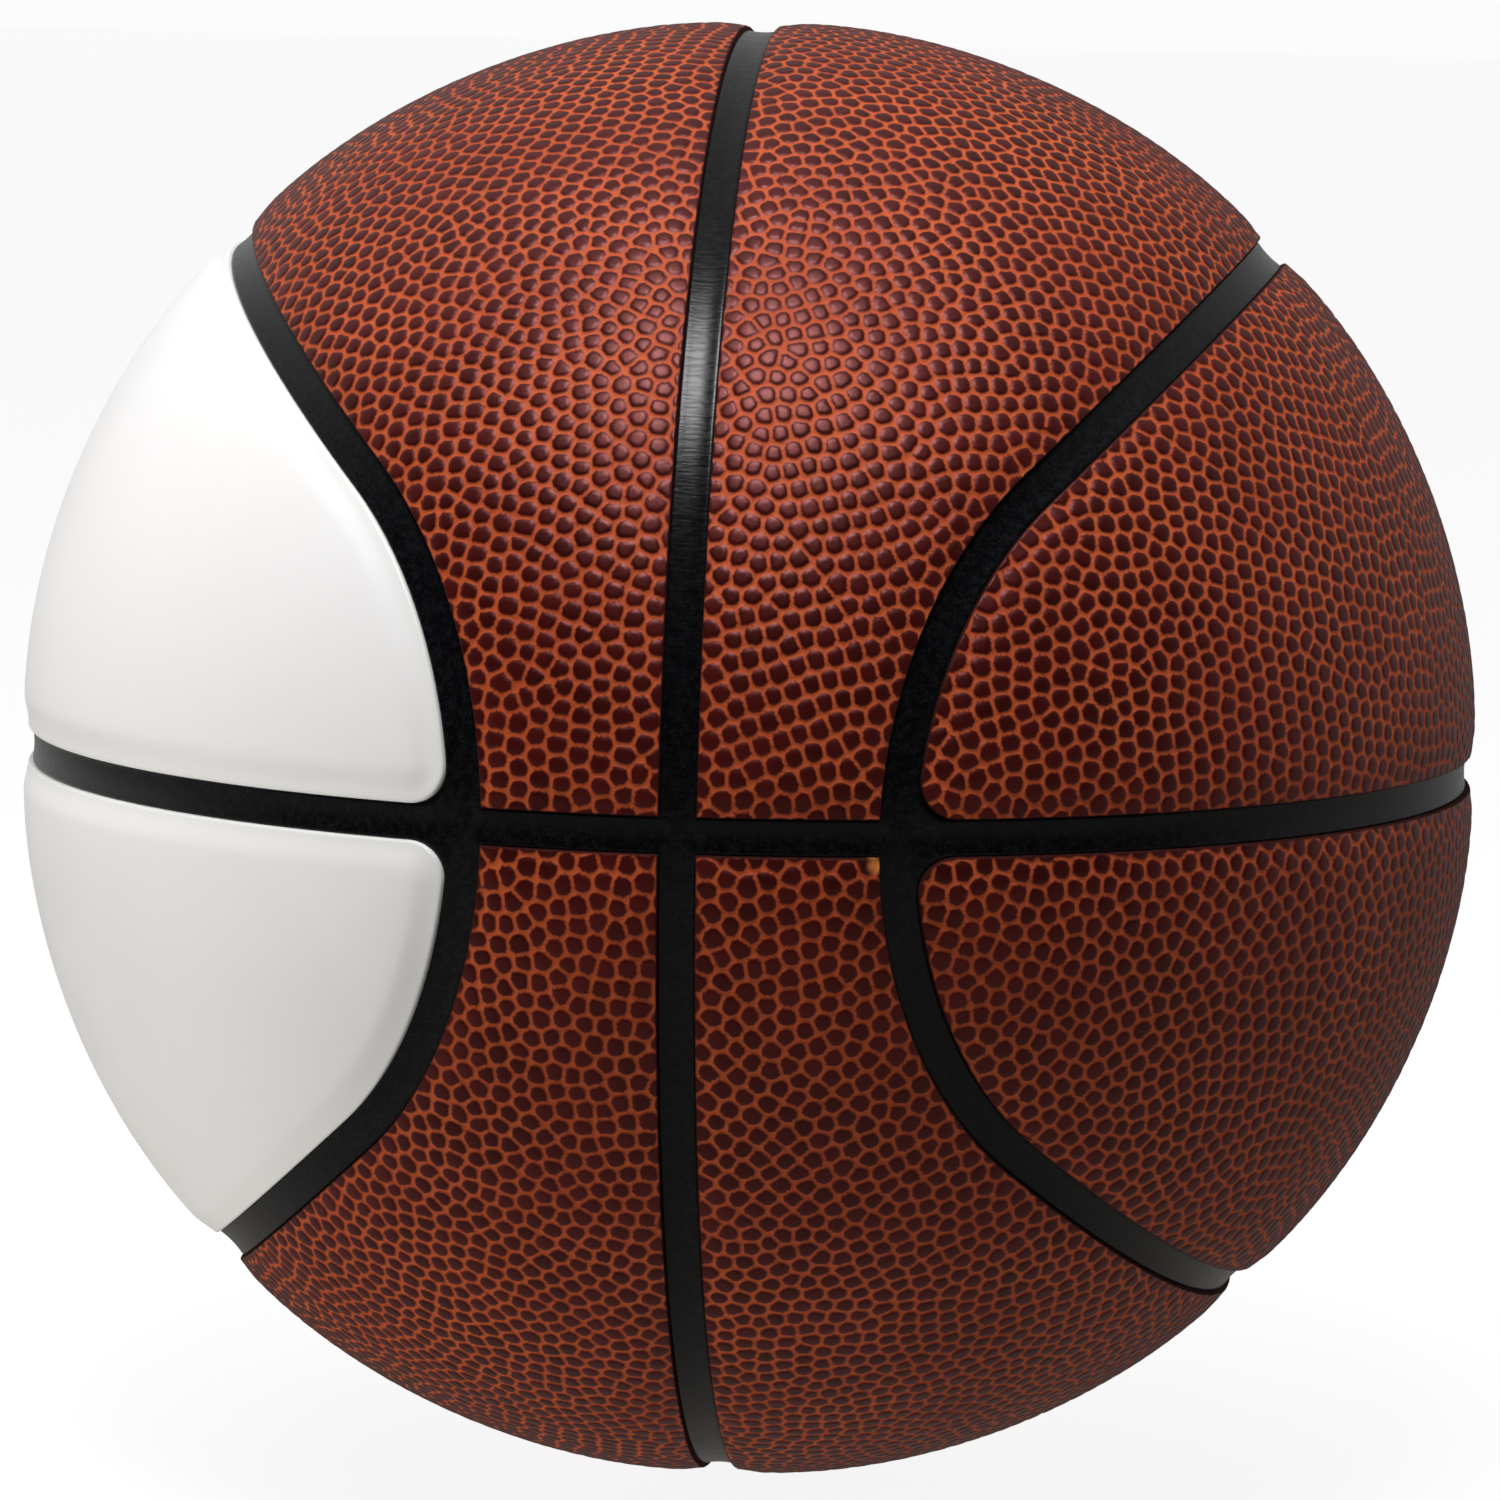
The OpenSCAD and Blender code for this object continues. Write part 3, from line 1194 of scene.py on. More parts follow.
@dataclass
class Winding:
    """Nylon thread laid on the bladder in great circles, left open round the valve patch."""

    outer_r: float = 115.0
    inner_r: float = 114.2
    hole_r: float = 15.1
    strands: int = 260
    strand_width: float = 3.4
    relief: float = 0.3
    rings: int = 170
    columns: int = 320
    inner_rings: int = 16
    pole_gap: float = 0.01
    seed: int = 41

    def build(self, name: str) -> bpy.types.Object:
        """Makes the closed shell.

        The outer radius is lowered by relief times the square of the share by which a point
        misses the last laid strand's middle; a strand is the great circle across an axis.
        """
        rng = np.random.default_rng(self.seed)
        axes = unit(rng.normal(size=(self.strands, 3)))
        u = self._grid(self.rings)
        flat = u.reshape(-1, 3)
        miss = np.full(len(flat), 1.0)
        order = np.zeros(len(flat))
        for number, axis in enumerate(axes):
            off = np.abs(flat @ axis) * self.outer_r / (self.strand_width / 2)
            over = off < 1
            miss[over] = off[over] ** 2
            order[over] = number / self.strands
        radius = self.outer_r - self.relief * miss
        shell = Shell("tone")
        outer = shell.add(flat * radius[:, None], tone=order).reshape(u.shape[:2])
        shell.grid(outer)
        u = self._grid(self.inner_rings)
        inner = shell.add(u.reshape(-1, 3) * self.inner_r).reshape(u.shape[:2])
        shell.grid(inner[::-1])
        shell.strip(inner[0], outer[0])
        for row, radius, flip in ((outer[-1], self.outer_r, 1), (inner[-1], self.inner_r, -1)):
            pole = shell.add(np.array([[0.0, -radius, 0.0]]))
            cap = np.stack([row, np.roll(row, -1), np.full(len(row), pole[0])], axis=1)
            shell.faces.append(cap[:, ::flip])
        points, faces, values = shell.arrays()
        return make_object(name, points, faces, values)

    def _grid(self, rings: int) -> Array:
        """Directions by their angle from +Y, from the hole's edge on, and their turn.

        Args:
            rings: How many angles from +Y.

        Returns:
            Unit vectors, by ring and column.
        """
        start = math.asin(self.hole_r / self.outer_r)
        polar = np.linspace(start, math.pi - self.pole_gap, rings)
        turn = np.arange(self.columns) * FULL_TURN / self.columns
        p, t = np.meshgrid(polar, turn, indexing="ij")
        return np.stack([np.sin(p) * np.cos(t), np.cos(p), -np.sin(p) * np.sin(t)], axis=2)


# Valve


def revolve(
    name: str, profile: Sequence[tuple[float, float]], columns: int, crease: float
) -> bpy.types.Object:
    """Turns a profile round the Y axis.

    Each point (radius, place along Y) becomes a ring (radius cos t, place, radius sin t). The
    profile starts and ends on the axis and goes up the outside first.

    Args:
        name: Name of the object.
        profile: Points in millimetres.
        columns: Points on each ring.
        crease: Angle in degrees above which an edge stays sharp.

    Returns:
        The new object.
    """
    line = np.array(profile, float)
    turn = np.arange(columns) * FULL_TURN / columns
    radius, place = line[:, :1], line[:, 1:]
    rings = np.stack([radius * np.cos(turn), place + 0 * turn, -radius * np.sin(turn)], axis=2)
    shell = Shell()
    shell.grid(shell.add(rings.reshape(-1, 3)).reshape(len(line), columns))
    points, faces, _ = shell.arrays()
    points, faces, _, _ = weld(points, faces)
    return make_object(name, points, faces[:, ::-1], crease=crease)


def corner(
    at: tuple[float, float], radius: float, start: float, sweep: float, steps: int = 5
) -> list[tuple[float, float]]:
    """Points of a rounded profile corner: a circle's arc from a start angle in degrees.

    Args:
        at: Centre of the circle.
        radius: Radius in millimetres.
        start: Angle of the first point.
        sweep: Angle that the arc covers.
        steps: How many points.

    Returns:
        The points.
    """
    angles = np.radians(start + sweep * np.linspace(0, 1, steps))
    return [(at[0] + radius * math.cos(a), at[1] + radius * math.sin(a)) for a in angles]


@dataclass
class Valve:
    """Rubber valve housing in the rear crossing and the plug that is pressed into it.

    Names that end in y are places along +Y, and names that end in r are radii.
    """

    face_y: float = 117.5
    stem_r: float = 4.5
    stem_foot_y: float = 113.3
    stem_neck: float = 2.0
    rim: float = 0.35
    mark_r: float = 3.86
    mark_half: float = 0.12
    mark_lip: float = 0.02
    bevel: float = 0.1
    boot_r: float = 5.5
    boot_end_y: float = 96.8
    boot_mid_y: float = 104.0
    boot_round: float = 1.0
    boot_floor: float = 1.4
    floor_bevel: float = 0.3
    fillet: float = 0.7
    fillet_y: float = 110.95
    fillet_foot_y: float = 110.9
    fillet_sweep: float = -78.0
    flange_r: float = 13.0
    flange_low_r: float = 6.6
    flange_out_r: float = 113.0
    flange_in_r: float = 111.8
    flange_edge_y: tuple[float, float] = (111.35, 111.95)
    flange_in_round: float = 0.5
    flange_out_round: float = 0.3
    dome_steps: int = 6
    head_r: float = 3.4
    head_top_y: float = 117.2
    head_seat_y: float = 116.0
    head_round: float = 0.3
    head_foot_round: float = 0.2
    crown_r: float = 2.4
    crown_rise: float = 0.03
    shank_r: float = 2.5
    shank_end_y: float = 102.0
    shank_round: float = 0.6
    neck_round: float = 0.05
    bore_mid_y: float = 107.0
    fit: float = 0.05
    needle_r: float = 1.1
    needle_depth: float = 7.0
    needle_tip: tuple[float, float] = (0.3, 0.2)
    lead_r: float = 1.7
    lead_round: float = 0.15
    lead_depth: float = 0.8
    groove: float = 0.2
    groove_half: float = 0.5
    groove_y: tuple[float, ...] = (105.0, 108.0, 111.0)
    columns: int = 128
    crease: float = 38.0

    def _dome(self, radius: float, low: float, high: float) -> list[tuple[float, float]]:
        """Profile points on a sphere round the ball's centre.

        Args:
            radius: Radius of the sphere.
            low: Distance of the first point from the Y axis.
            high: Distance of the last point from the Y axis.

        Returns:
            The points.
        """
        reach = np.linspace(low, high, self.dome_steps)
        return [(float(r), math.sqrt(radius**2 - r * r)) for r in reach]

    def housing(self, name: str) -> bpy.types.Object:
        """Makes the boot, flange, stem and face, with the bore for the plug.

        Args:
            name: Name of the object.

        Returns:
            The new object.
        """
        rim, face, bevel, mark, lip = self.rim, self.face_y, self.bevel, self.mark_half, self.mark_lip
        bore, seat, seat_y = self.shank_r + self.fit, self.head_r + self.fit, self.head_seat_y
        floor, end, round_off = self.boot_end_y + self.boot_floor, self.boot_end_y, self.boot_round
        profile = [
            (0.0, end),
            *corner((self.boot_r - round_off, end + round_off), round_off, -90, 90),
            (self.boot_r, self.boot_mid_y),
            (self.boot_r, self.fillet_foot_y),
            *corner((self.boot_r + self.fillet, self.fillet_y), self.fillet, 180, self.fillet_sweep, 4),
            *self._dome(self.flange_in_r, self.flange_low_r, self.flange_r - self.flange_in_round),
            *[(self.flange_r, y) for y in self.flange_edge_y],
            *self._dome(
                self.flange_out_r,
                self.flange_r - self.flange_out_round,
                self.stem_r + self.flange_out_round,
            ),
            (self.stem_r, self.stem_foot_y),
            (self.stem_r, face - self.stem_neck),
            *corner((self.stem_r - rim, face - rim), rim, 0, 90),
            (self.mark_r + mark, face + lip),
            (self.mark_r, face - bevel),
            (self.mark_r - mark, face + lip),
            *corner((seat + mark, face - mark), mark, 90, 90, 3),
            (seat, seat_y + bevel),
            (seat - bevel, seat_y),
            (bore + bevel, seat_y),
            (bore, seat_y - bevel),
            (bore, self.bore_mid_y),
            (bore, floor + self.floor_bevel),
            (bore - self.floor_bevel, floor),
            (0.0, floor),
        ]
        return revolve(name, profile, self.columns, self.crease)

    def plug(self, name: str) -> bpy.types.Object:
        """Makes the head, the grooved shank and the needle guide.

        Args:
            name: Name of the object.

        Returns:
            The new object.
        """
        shank, head, top, seat = self.shank_r, self.head_r, self.head_top_y, self.head_seat_y
        low, high, tip = self.head_foot_round, self.head_round, self.shank_round
        lead, needle, end = self.lead_round, self.needle_r, top - self.needle_depth
        grooves = []
        for place in self.groove_y:
            for side in (-1, 1):
                edge = (shank, place + side * self.groove_half)
                bottom = (shank - self.groove, place + side * self.groove)
                grooves += [edge, bottom] if side < 0 else [bottom, edge]
        profile = [
            (0.0, self.shank_end_y),
            *corner((shank - tip, self.shank_end_y + tip), tip, -90, 90),
            *grooves,
            (shank, seat - self.neck_round),
            (shank + self.neck_round, seat),
            *corner((head - low, seat + low), low, -90, 90, 4),
            *corner((head - high, top - high), high, 0, 90),
            (self.crown_r, top + self.crown_rise),
            *corner((self.lead_r + lead, top - lead), lead, 90, 50, 3),
            (needle, top - self.lead_depth),
            (needle, top - self.needle_depth / 2),
            (needle, end + self.needle_tip[1]),
            (needle - self.needle_tip[0], end),
            (0.0, end),
        ]
        return revolve(name, profile, self.columns, self.crease)


# Materials


class Effect(Enum):
    """Shader node groups that several finishes share, by their names."""

    GRAIN = "skin_grain"
    PATCHES = "soft_patches"


class Graph:
    """Adds shader nodes to a tree and links them."""

    def __init__(self, tree: bpy.types.NodeTree) -> None:
        """Takes the tree to work on."""
        self.tree = tree

    def add(self, kind: str, inputs: dict | None = None, **settings: object) -> bpy.types.Node:
        """Adds a node.

        Args:
            kind: Blender's name of the node's type, without the ShaderNode at its start.
            inputs: Values or output sockets, by the name or number of the input.
            settings: Properties of the node.

        Returns:
            The new node.
        """
        node = self.tree.nodes.new(kind if kind.startswith("Node") else f"ShaderNode{kind}")
        for key, value in settings.items():
            setattr(node, key, value)
        for key, value in (inputs or {}).items():
            if isinstance(value, bpy.types.NodeSocket):
                self.tree.links.new(value, node.inputs[key])
            else:
                node.inputs[key].default_value = value
        return node

    def maths(self, operation: str, *values: object) -> bpy.types.NodeSocket:
        """Output of a Math node on the given values or sockets."""
        return self.add("Math", dict(enumerate(values)), operation=operation).outputs[0]

    def scaled(self, value: object, share: object) -> bpy.types.NodeSocket:
        """Output of a value times a share."""
        return self.maths("MULTIPLY", value, share)

    def blend(self, factor: object, a: object, b: object) -> bpy.types.NodeSocket:
        """Colour output that goes from a to b by the factor."""
        return self.add("Mix", {0: factor, 6: a, 7: b}, data_type="RGBA").outputs[2]

    def between(self, factor: object, a: object, b: object) -> bpy.types.NodeSocket:
        """Number output that goes from a to b by the factor."""
        return self.add("Mix", {0: factor, 2: a, 3: b}, data_type="FLOAT").outputs[0]

    def ramp(
        self, value: object, low: object, high: object, to_low: float = 0.0, to_high: float = 1.0
    ) -> bpy.types.NodeSocket:
        """Output of a smooth Map Range from low..high to to_low..to_high."""
        inputs = {0: value, 1: low, 2: high, 3: to_low, 4: to_high}
        return self.add("MapRange", inputs, interpolation_type="SMOOTHSTEP").outputs[0]

    def place(self) -> bpy.types.NodeSocket:
        """Place in the object's own space, in metres."""
        return self.add("TexCoord").outputs["Object"]

    def noise(self, place: object, scale: object, detail: float) -> bpy.types.NodeSocket:
        """Noise at a scale."""
        inputs = {"Vector": place, "Scale": scale, "Detail": detail}
        return self.add("TexNoise", inputs).outputs[0]

    def attribute(self, name: str) -> bpy.types.NodeSocket:
        """Number stored on the mesh's points."""
        return self.add("Attribute", attribute_name=name).outputs["Fac"]

    def effect(self, effect: Effect, **inputs: float) -> bpy.types.NodeSocket:
        """Output of a shared effect, with underscores for the spaces in its inputs' names."""
        given = {key.replace("_", " "): value for key, value in inputs.items()}
        return self.add("Group", given, node_tree=bpy.data.node_groups[effect.value]).outputs[0]

    def grain(self, scale: float, coarse: float) -> bpy.types.NodeSocket:
        """Height of the skin grain at a scale, with a share of coarser grain."""
        return self.effect(Effect.GRAIN, Scale=scale, Coarse_Share=coarse)

    def patches(self, scale: float, low: float, high: float) -> bpy.types.NodeSocket:
        """Mask of the soft patches, from 0 where the noise is low to 1 where it is high."""
        return self.effect(Effect.PATCHES, Scale=scale, Low=low, High=high)


def start_group(effect: Effect, output: str, **inputs: float) -> tuple[Graph, dict, object]:
    """Starts a shader node group with number inputs and one number output.

    Args:
        effect: The effect that the group gives.
        output: Name of the output.
        inputs: Default value of each input by its name, underscores standing for spaces.

    Returns:
        Its Graph, its inputs by the names given here, and the socket that takes the result.
    """
    tree = bpy.data.node_groups.new(effect.value, "ShaderNodeTree")
    for key, value in inputs.items():
        label = key.replace("_", " ")
        socket = tree.interface.new_socket(label, in_out="INPUT", socket_type="NodeSocketFloat")
        socket.default_value = value
    tree.interface.new_socket(output, in_out="OUTPUT", socket_type="NodeSocketFloat")
    graph = Graph(tree)
    given = graph.add("NodeGroupInput").outputs
    sockets = {key: given[key.replace("_", " ")] for key in inputs}
    return graph, sockets, graph.add("NodeGroupOutput").inputs[output]


def make_grain(detail: float = 2.0, coarse_share: float = 0.31) -> None:
    """Makes the fine skin grain: two sizes of noise in the object's own space."""
    graph, given, result = start_group(Effect.GRAIN, "Height", Scale=3000.0, Coarse_Share=0.4)
    place = graph.place()
    fine = graph.noise(place, given["Scale"], detail)
    wide = graph.noise(place, graph.scaled(given["Scale"], coarse_share), detail)
    rest = graph.maths("SUBTRACT", 1.0, given["Coarse_Share"])
    both = graph.maths("ADD", graph.scaled(fine, rest), graph.scaled(wide, given["Coarse_Share"]))
    graph.tree.links.new(both, result)


def make_patches(detail: float = 4.0) -> None:
    """Makes the soft uneven patches, for soil, dust and dye that took unevenly."""
    graph, given, result = start_group(Effect.PATCHES, "Mask", Scale=30.0, Low=0.4, High=0.65)
    noise = graph.noise(graph.place(), given["Scale"], detail)
    graph.tree.links.new(graph.ramp(noise, given["Low"], given["High"]), result)


@dataclass(frozen=True)
class Finish:
    """A procedural material.

    Each finish names its own colours and measures, and paints a colour, a roughness and a
    height, which go to the shader and to a Bump. Scales are in waves per metre.
    """

    name: str = "finish"
    grain_scale: float = 2600.0
    grain_coarse: float = 0.5
    bump_depth: float = 0.00005
    bump_strength: float = 0.6

    def settings(self) -> dict[str, object]:
        """Inputs of the shader that are the same all over."""
        return {}

    def paint(self, graph: Graph) -> tuple[object, object, object]:
        """Outputs for the colour, the roughness and the height."""
        raise NotImplementedError

    def make(self) -> bpy.types.Material:
        """Makes the material.

        Returns:
            The material.
        """
        material = bpy.data.materials.new(self.name)
        material.use_nodes = True
        material.node_tree.nodes.clear()
        graph = Graph(material.node_tree)
        colour, rough, height = self.paint(graph)
        bump = {"Height": height, "Distance": self.bump_depth, "Strength": self.bump_strength}
        normal = graph.add("Bump", bump).outputs[0]
        inputs = {"Base Color": colour, "Roughness": rough, "Normal": normal}
        shader = graph.add("BsdfPrincipled", inputs | self.settings())
        graph.add("OutputMaterial", {"Surface": shader.outputs[0]})
        return material


@dataclass(frozen=True)
class PebbledLeather(Finish):
    """Maroon pebble tops over orange valleys, painted shade on the rolled edge, and one corner worn
    bare.
    """

    name: str = "cover_brown"
    grain_scale: float = 4200.0
    grain_coarse: float = 0.45
    bump_strength: float = 0.55
    top_dark: Colour = (0.027, 0.0012, 0.0005, 1.0)
    top_light: Colour = (0.062, 0.0038, 0.0030, 1.0)
    valley: Colour = (0.52, 0.094, 0.0235, 1.0)
    valley_deep: Colour = (0.41, 0.066, 0.0150, 1.0)
    # Painted shade for the rolled edge, where the skin turns down into the channel.
    edge_shade: Colour = (0.012, 0.0020, 0.0015, 1.0)
    bare: Colour = (0.95, 0.33, 0.07, 1.0)
    sheen: Colour = (1.0, 0.36, 0.34, 1.0)
    specular: float = 0.85
    speck_scale: float = 1400.0
    speck_share: float = 0.2
    speck_rough: float = 0.06
    top_span: tuple[float, float] = (-0.02, 1.02)
    tone_share: float = 0.55
    dye: tuple[float, float, float] = (55.0, 0.35, 0.7)
    soil: tuple[float, float, float] = (38.0, 0.3, 0.7)
    edge_span: tuple[float, float] = (0.02, 0.4)
    worn_corner: tuple[float, float, float] = (0.0287, -0.1140, -0.0040)
    worn_span: tuple[float, float] = (0.0006, 0.0018)
    worn_share: float = 0.95
    rough_valley: float = 0.60
    rough_top: float = 0.37

    def settings(self) -> dict[str, object]:
        """A reddish sheen."""
        return {"Specular IOR Level": self.specular, "Specular Tint": self.sheen}

    def paint(self, graph: Graph) -> tuple[object, object, object]:
        """Colours the pebbles by the share of the way up their sides."""
        speck = graph.grain(self.speck_scale, 0.5)
        ragged = graph.maths("ADD", graph.attribute("wall"), graph.scaled(speck, self.speck_share))
        top = graph.ramp(ragged, *self.top_span)
        own = graph.scaled(graph.attribute("tone"), self.tone_share)
        tone = graph.maths("ADD", own, graph.scaled(graph.patches(*self.dye), 1 - self.tone_share))
        maroon = graph.blend(tone, self.top_dark, self.top_light)
        orange = graph.blend(graph.patches(*self.soil), self.valley, self.valley_deep)
        # Painted shade: the rolled edge, where the skin turns down into the channel, is darkened to
        # near black and made fully rough.
        edge_shade_mask = graph.ramp(graph.attribute("inset"), *self.edge_span, 1.0, 0.0)
        skin = graph.blend(edge_shade_mask, graph.blend(top, orange, maroon), self.edge_shade)
        places = {0: graph.place(), 1: self.worn_corner}
        away = graph.add("VectorMath", places, operation="DISTANCE").outputs["Value"]
        worn = graph.ramp(away, *self.worn_span, self.worn_share, 0.0)
        colour = graph.blend(worn, skin, self.bare)
        rough = graph.ramp(top, 0.0, 1.0, self.rough_valley, self.rough_top)
        rough = graph.maths("ADD", rough, graph.scaled(speck, self.speck_rough))
        rough = graph.maths("MAXIMUM", rough, edge_shade_mask)
        return colour, rough, graph.grain(self.grain_scale, self.grain_coarse)


@dataclass(frozen=True)
class SmoothLeather(Finish):
    """Smooth white leather with a soft satin coat and slightly soiled edges."""

    name: str = "cover_white"
    bump_depth: float = 0.00003
    bump_strength: float = 0.35
    white: Colour = (0.93, 0.92, 0.925, 1.0)
    soiled: Colour = (0.88, 0.875, 0.85, 1.0)
    coat: float = 0.25
    coat_rough: float = 0.22
    edge_span: tuple[float, float] = (0.2, 2.2)
    edge_share: float = 0.75
    soil: tuple[float, float, float] = (26.0, 0.42, 0.75)
    soil_share: float = 0.35
    gloss: tuple[float, float, float] = (60.0, 0.3, 0.7)
    rough_span: tuple[float, float] = (0.36, 0.44)

    def settings(self) -> dict[str, object]:
        """A thin clear coat."""
        return {"Coat Weight": self.coat, "Coat Roughness": self.coat_rough}

    def paint(self, graph: Graph) -> tuple[object, object, object]:
        """Soils the edges and a few patches."""
        edge = graph.ramp(graph.attribute("inset"), *self.edge_span, self.edge_share, 0.0)
        soil = graph.scaled(graph.patches(*self.soil), self.soil_share)
        colour = graph.blend(graph.maths("MAXIMUM", edge, soil), self.white, self.soiled)
        rough = graph.ramp(graph.patches(*self.gloss), 0.0, 1.0, *self.rough_span)
        return colour, rough, graph.grain(self.grain_scale, self.grain_coarse)


@dataclass(frozen=True)
class ChannelRubber(Finish):
    """Moulded rubber with a fine uneven grain, a little paler on the high spots."""

    name: str = "channel_rubber"
    grain_coarse: float = 0.45
    rubber: Colour = (0.0022, 0.0023, 0.0030, 1.0)
    worn: Colour = (0.0072, 0.0075, 0.0086, 1.0)
    worn_span: tuple[float, float] = (0.4, 0.66)
    specular: float = 0.26
    upright_span: tuple[float, float] = (0.0027, 0.0031)
    ripple_stretch: tuple[float, float, float] = (0.12, 1.0, 1.0)
    ripple_scale: float = 2300.0
    height_span: tuple[float, float] = (0.3, 0.7)
    rough_span: tuple[float, float] = (0.20, 0.30)

    def settings(self) -> dict[str, object]:
        """A weak sheen."""
        return {"Specular IOR Level": self.specular}

    def paint(self, graph: Graph) -> tuple[object, object, object]:
        """Grains the rubber, with ripples across the upright channel."""
        place = graph.place()
        side = graph.maths("ABSOLUTE", graph.add("SeparateXYZ", {0: place}).outputs[0])
        upright = graph.ramp(side, *self.upright_span, 1.0, 0.0)
        flat = {0: place, 1: self.ripple_stretch}
        flat = graph.add("VectorMath", flat, operation="MULTIPLY").outputs[0]
        ripple = graph.noise(flat, self.ripple_scale, 3.0)
        grain = graph.grain(self.grain_scale, self.grain_coarse)
        height = graph.between(upright, grain, ripple)
        colour = graph.blend(graph.ramp(grain, *self.worn_span), self.rubber, self.worn)
        return colour, graph.ramp(height, *self.height_span, *self.rough_span), height


@dataclass(frozen=True)
class PlainRubber(Finish):
    """Plain black rubber with fine grain and soft dusty patches."""

    rubber: Colour = (0.0022, 0.0023, 0.0030, 1.0)
    dusty: Colour = (0.016, 0.016, 0.018, 1.0)
    dust: tuple[float, float, float] = (120.0, 0.4, 0.8)
    rough_span: tuple[float, float] = (0.41, 0.56)

    def paint(self, graph: Graph) -> tuple[object, object, object]:
        """Dusts the rubber in patches."""
        mask = graph.patches(*self.dust)
        colour = graph.blend(mask, self.rubber, self.dusty)
        rough = graph.ramp(mask, 0.0, 1.0, *self.rough_span)
        return colour, rough, graph.grain(self.grain_scale, self.grain_coarse)


@dataclass(frozen=True)
class Sponge(Finish):
    """Open grey sponge: small sunk cells between pale walls, darkened with painted shade."""

    name: str = "sponge"
    bump_depth: float = 0.0003
    bump_strength: float = 0.7
    pale: Colour = (0.25, 0.26, 0.27, 1.0)
    # Painted shade inside the sunk cells.
    dark: Colour = (0.14, 0.145, 0.15, 1.0)
    cell_scale: float = 1100.0
    cell_span: tuple[float, float] = (0.15, 0.6)
    rough_span: tuple[float, float] = (0.82, 0.95)

    def paint(self, graph: Graph) -> tuple[object, object, object]:
        """Sinks the cells and darkens them with painted shade."""
        cells = graph.add("TexVoronoi", {"Vector": graph.place(), "Scale": self.cell_scale})
        hole = graph.ramp(cells.outputs["Distance"], *self.cell_span, 1.0, 0.0)
        # Painted shade: the cells, sunk only by the bump, are darkened towards their middles.
        colour = graph.blend(hole, self.pale, self.dark)
        rough = graph.ramp(hole, 0.0, 1.0, *self.rough_span)
        return colour, rough, graph.maths("SUBTRACT", 1.0, hole)


@dataclass(frozen=True)
class Thread(Finish):
    """Undyed nylon in latex: each laid strand has its own shade and fine filaments."""

    name: str = "thread"
    grain_scale: float = 2400.0
    grain_coarse: float = 0.3
    bump_depth: float = 0.0001
    pale: Colour = (0.66, 0.60, 0.46, 1.0)
    dark: Colour = (0.44, 0.38, 0.27, 1.0)
    shade_turns: float = 37.0
    grain_span: tuple[float, float] = (0.3, 0.7)
    rough_span: tuple[float, float] = (0.5, 0.7)

    def paint(self, graph: Graph) -> tuple[object, object, object]:
        """Shades each strand by the order in which it was laid."""
        grain = graph.grain(self.grain_scale, self.grain_coarse)
        shade = graph.maths("FRACT", graph.scaled(graph.attribute("tone"), self.shade_turns))
        mask = graph.scaled(graph.maths("ADD", shade, grain), 0.5)
        colour = graph.blend(mask, self.pale, self.dark)
        return colour, graph.ramp(grain, *self.grain_span, *self.rough_span), grain


class Finishes:
    """All materials of the ball, made once."""

    def __init__(self) -> None:
        """Makes the shared effects and every material."""
        make_grain()
        make_patches()
        self.brown = PebbledLeather().make()
        self.white = SmoothLeather().make()
        self.channel = ChannelRubber().make()
        self.valve = PlainRubber("valve_rubber", 1500.0, 0.5, 0.00004).make()
        butyl = PlainRubber("bladder_rubber", 900.0, 0.5, 0.00003, rough_span=(0.29, 0.44))
        self.butyl = butyl.make()
        self.sponge = Sponge().make()
        self.thread = Thread().make()


# Studio


def toward(azimuth: float, elevation: float) -> Vector:
    """Direction from the ball at an azimuth round it and an elevation, in degrees."""
    turn, climb = math.radians(azimuth), math.radians(elevation)
    flat = math.cos(climb)
    return Vector((math.sin(turn) * flat, -math.cos(turn) * flat, math.sin(climb)))


@dataclass(frozen=True)
class SoftLight:
    """A rectangular soft light that faces the ball, with its angles in degrees."""

    name: str
    azimuth: float
    elevation: float
    distance: float
    size: tuple[float, float]
    power: float
    glossy: bool = False
    tint: tuple[float, float, float] = (1.0, 1.0, 1.0)

    def make(self) -> None:
        """Puts the light into the scene."""
        data = bpy.data.lights.new(self.name, "AREA")
        data.shape = "RECTANGLE"
        data.size, data.size_y = self.size
        data.energy = self.power
        data.color = self.tint
        made = bpy.data.objects.new(self.name, data)
        made.visible_glossy = self.glossy
        back = toward(self.azimuth, self.elevation)
        made.location = back * self.distance
        made.rotation_mode = "QUATERNION"
        made.rotation_quaternion = (-back).to_track_quat("-Z", "Y")
        bpy.context.scene.collection.objects.link(made)


WARM = (1.0, 0.99, 0.95)
SOFT_LIGHTS = (
    SoftLight("key_light", -1.0, 63.0, 1.3, (0.4, 0.4), 10.5, glossy=True),
    SoftLight("top_light", -60.0, 82.0, 1.4, (1.6, 1.6), 17.0),
    SoftLight("left_bounce", -80.0, -28.0, 1.5, (1.6, 0.8), 14.8, tint=WARM),
    SoftLight("low_bounce", 0.0, -60.0, 1.5, (1.6, 1.6), 3.5, tint=WARM),
    SoftLight("right_light", 80.0, 5.0, 1.6, (1.4, 1.2), 3.0),
)


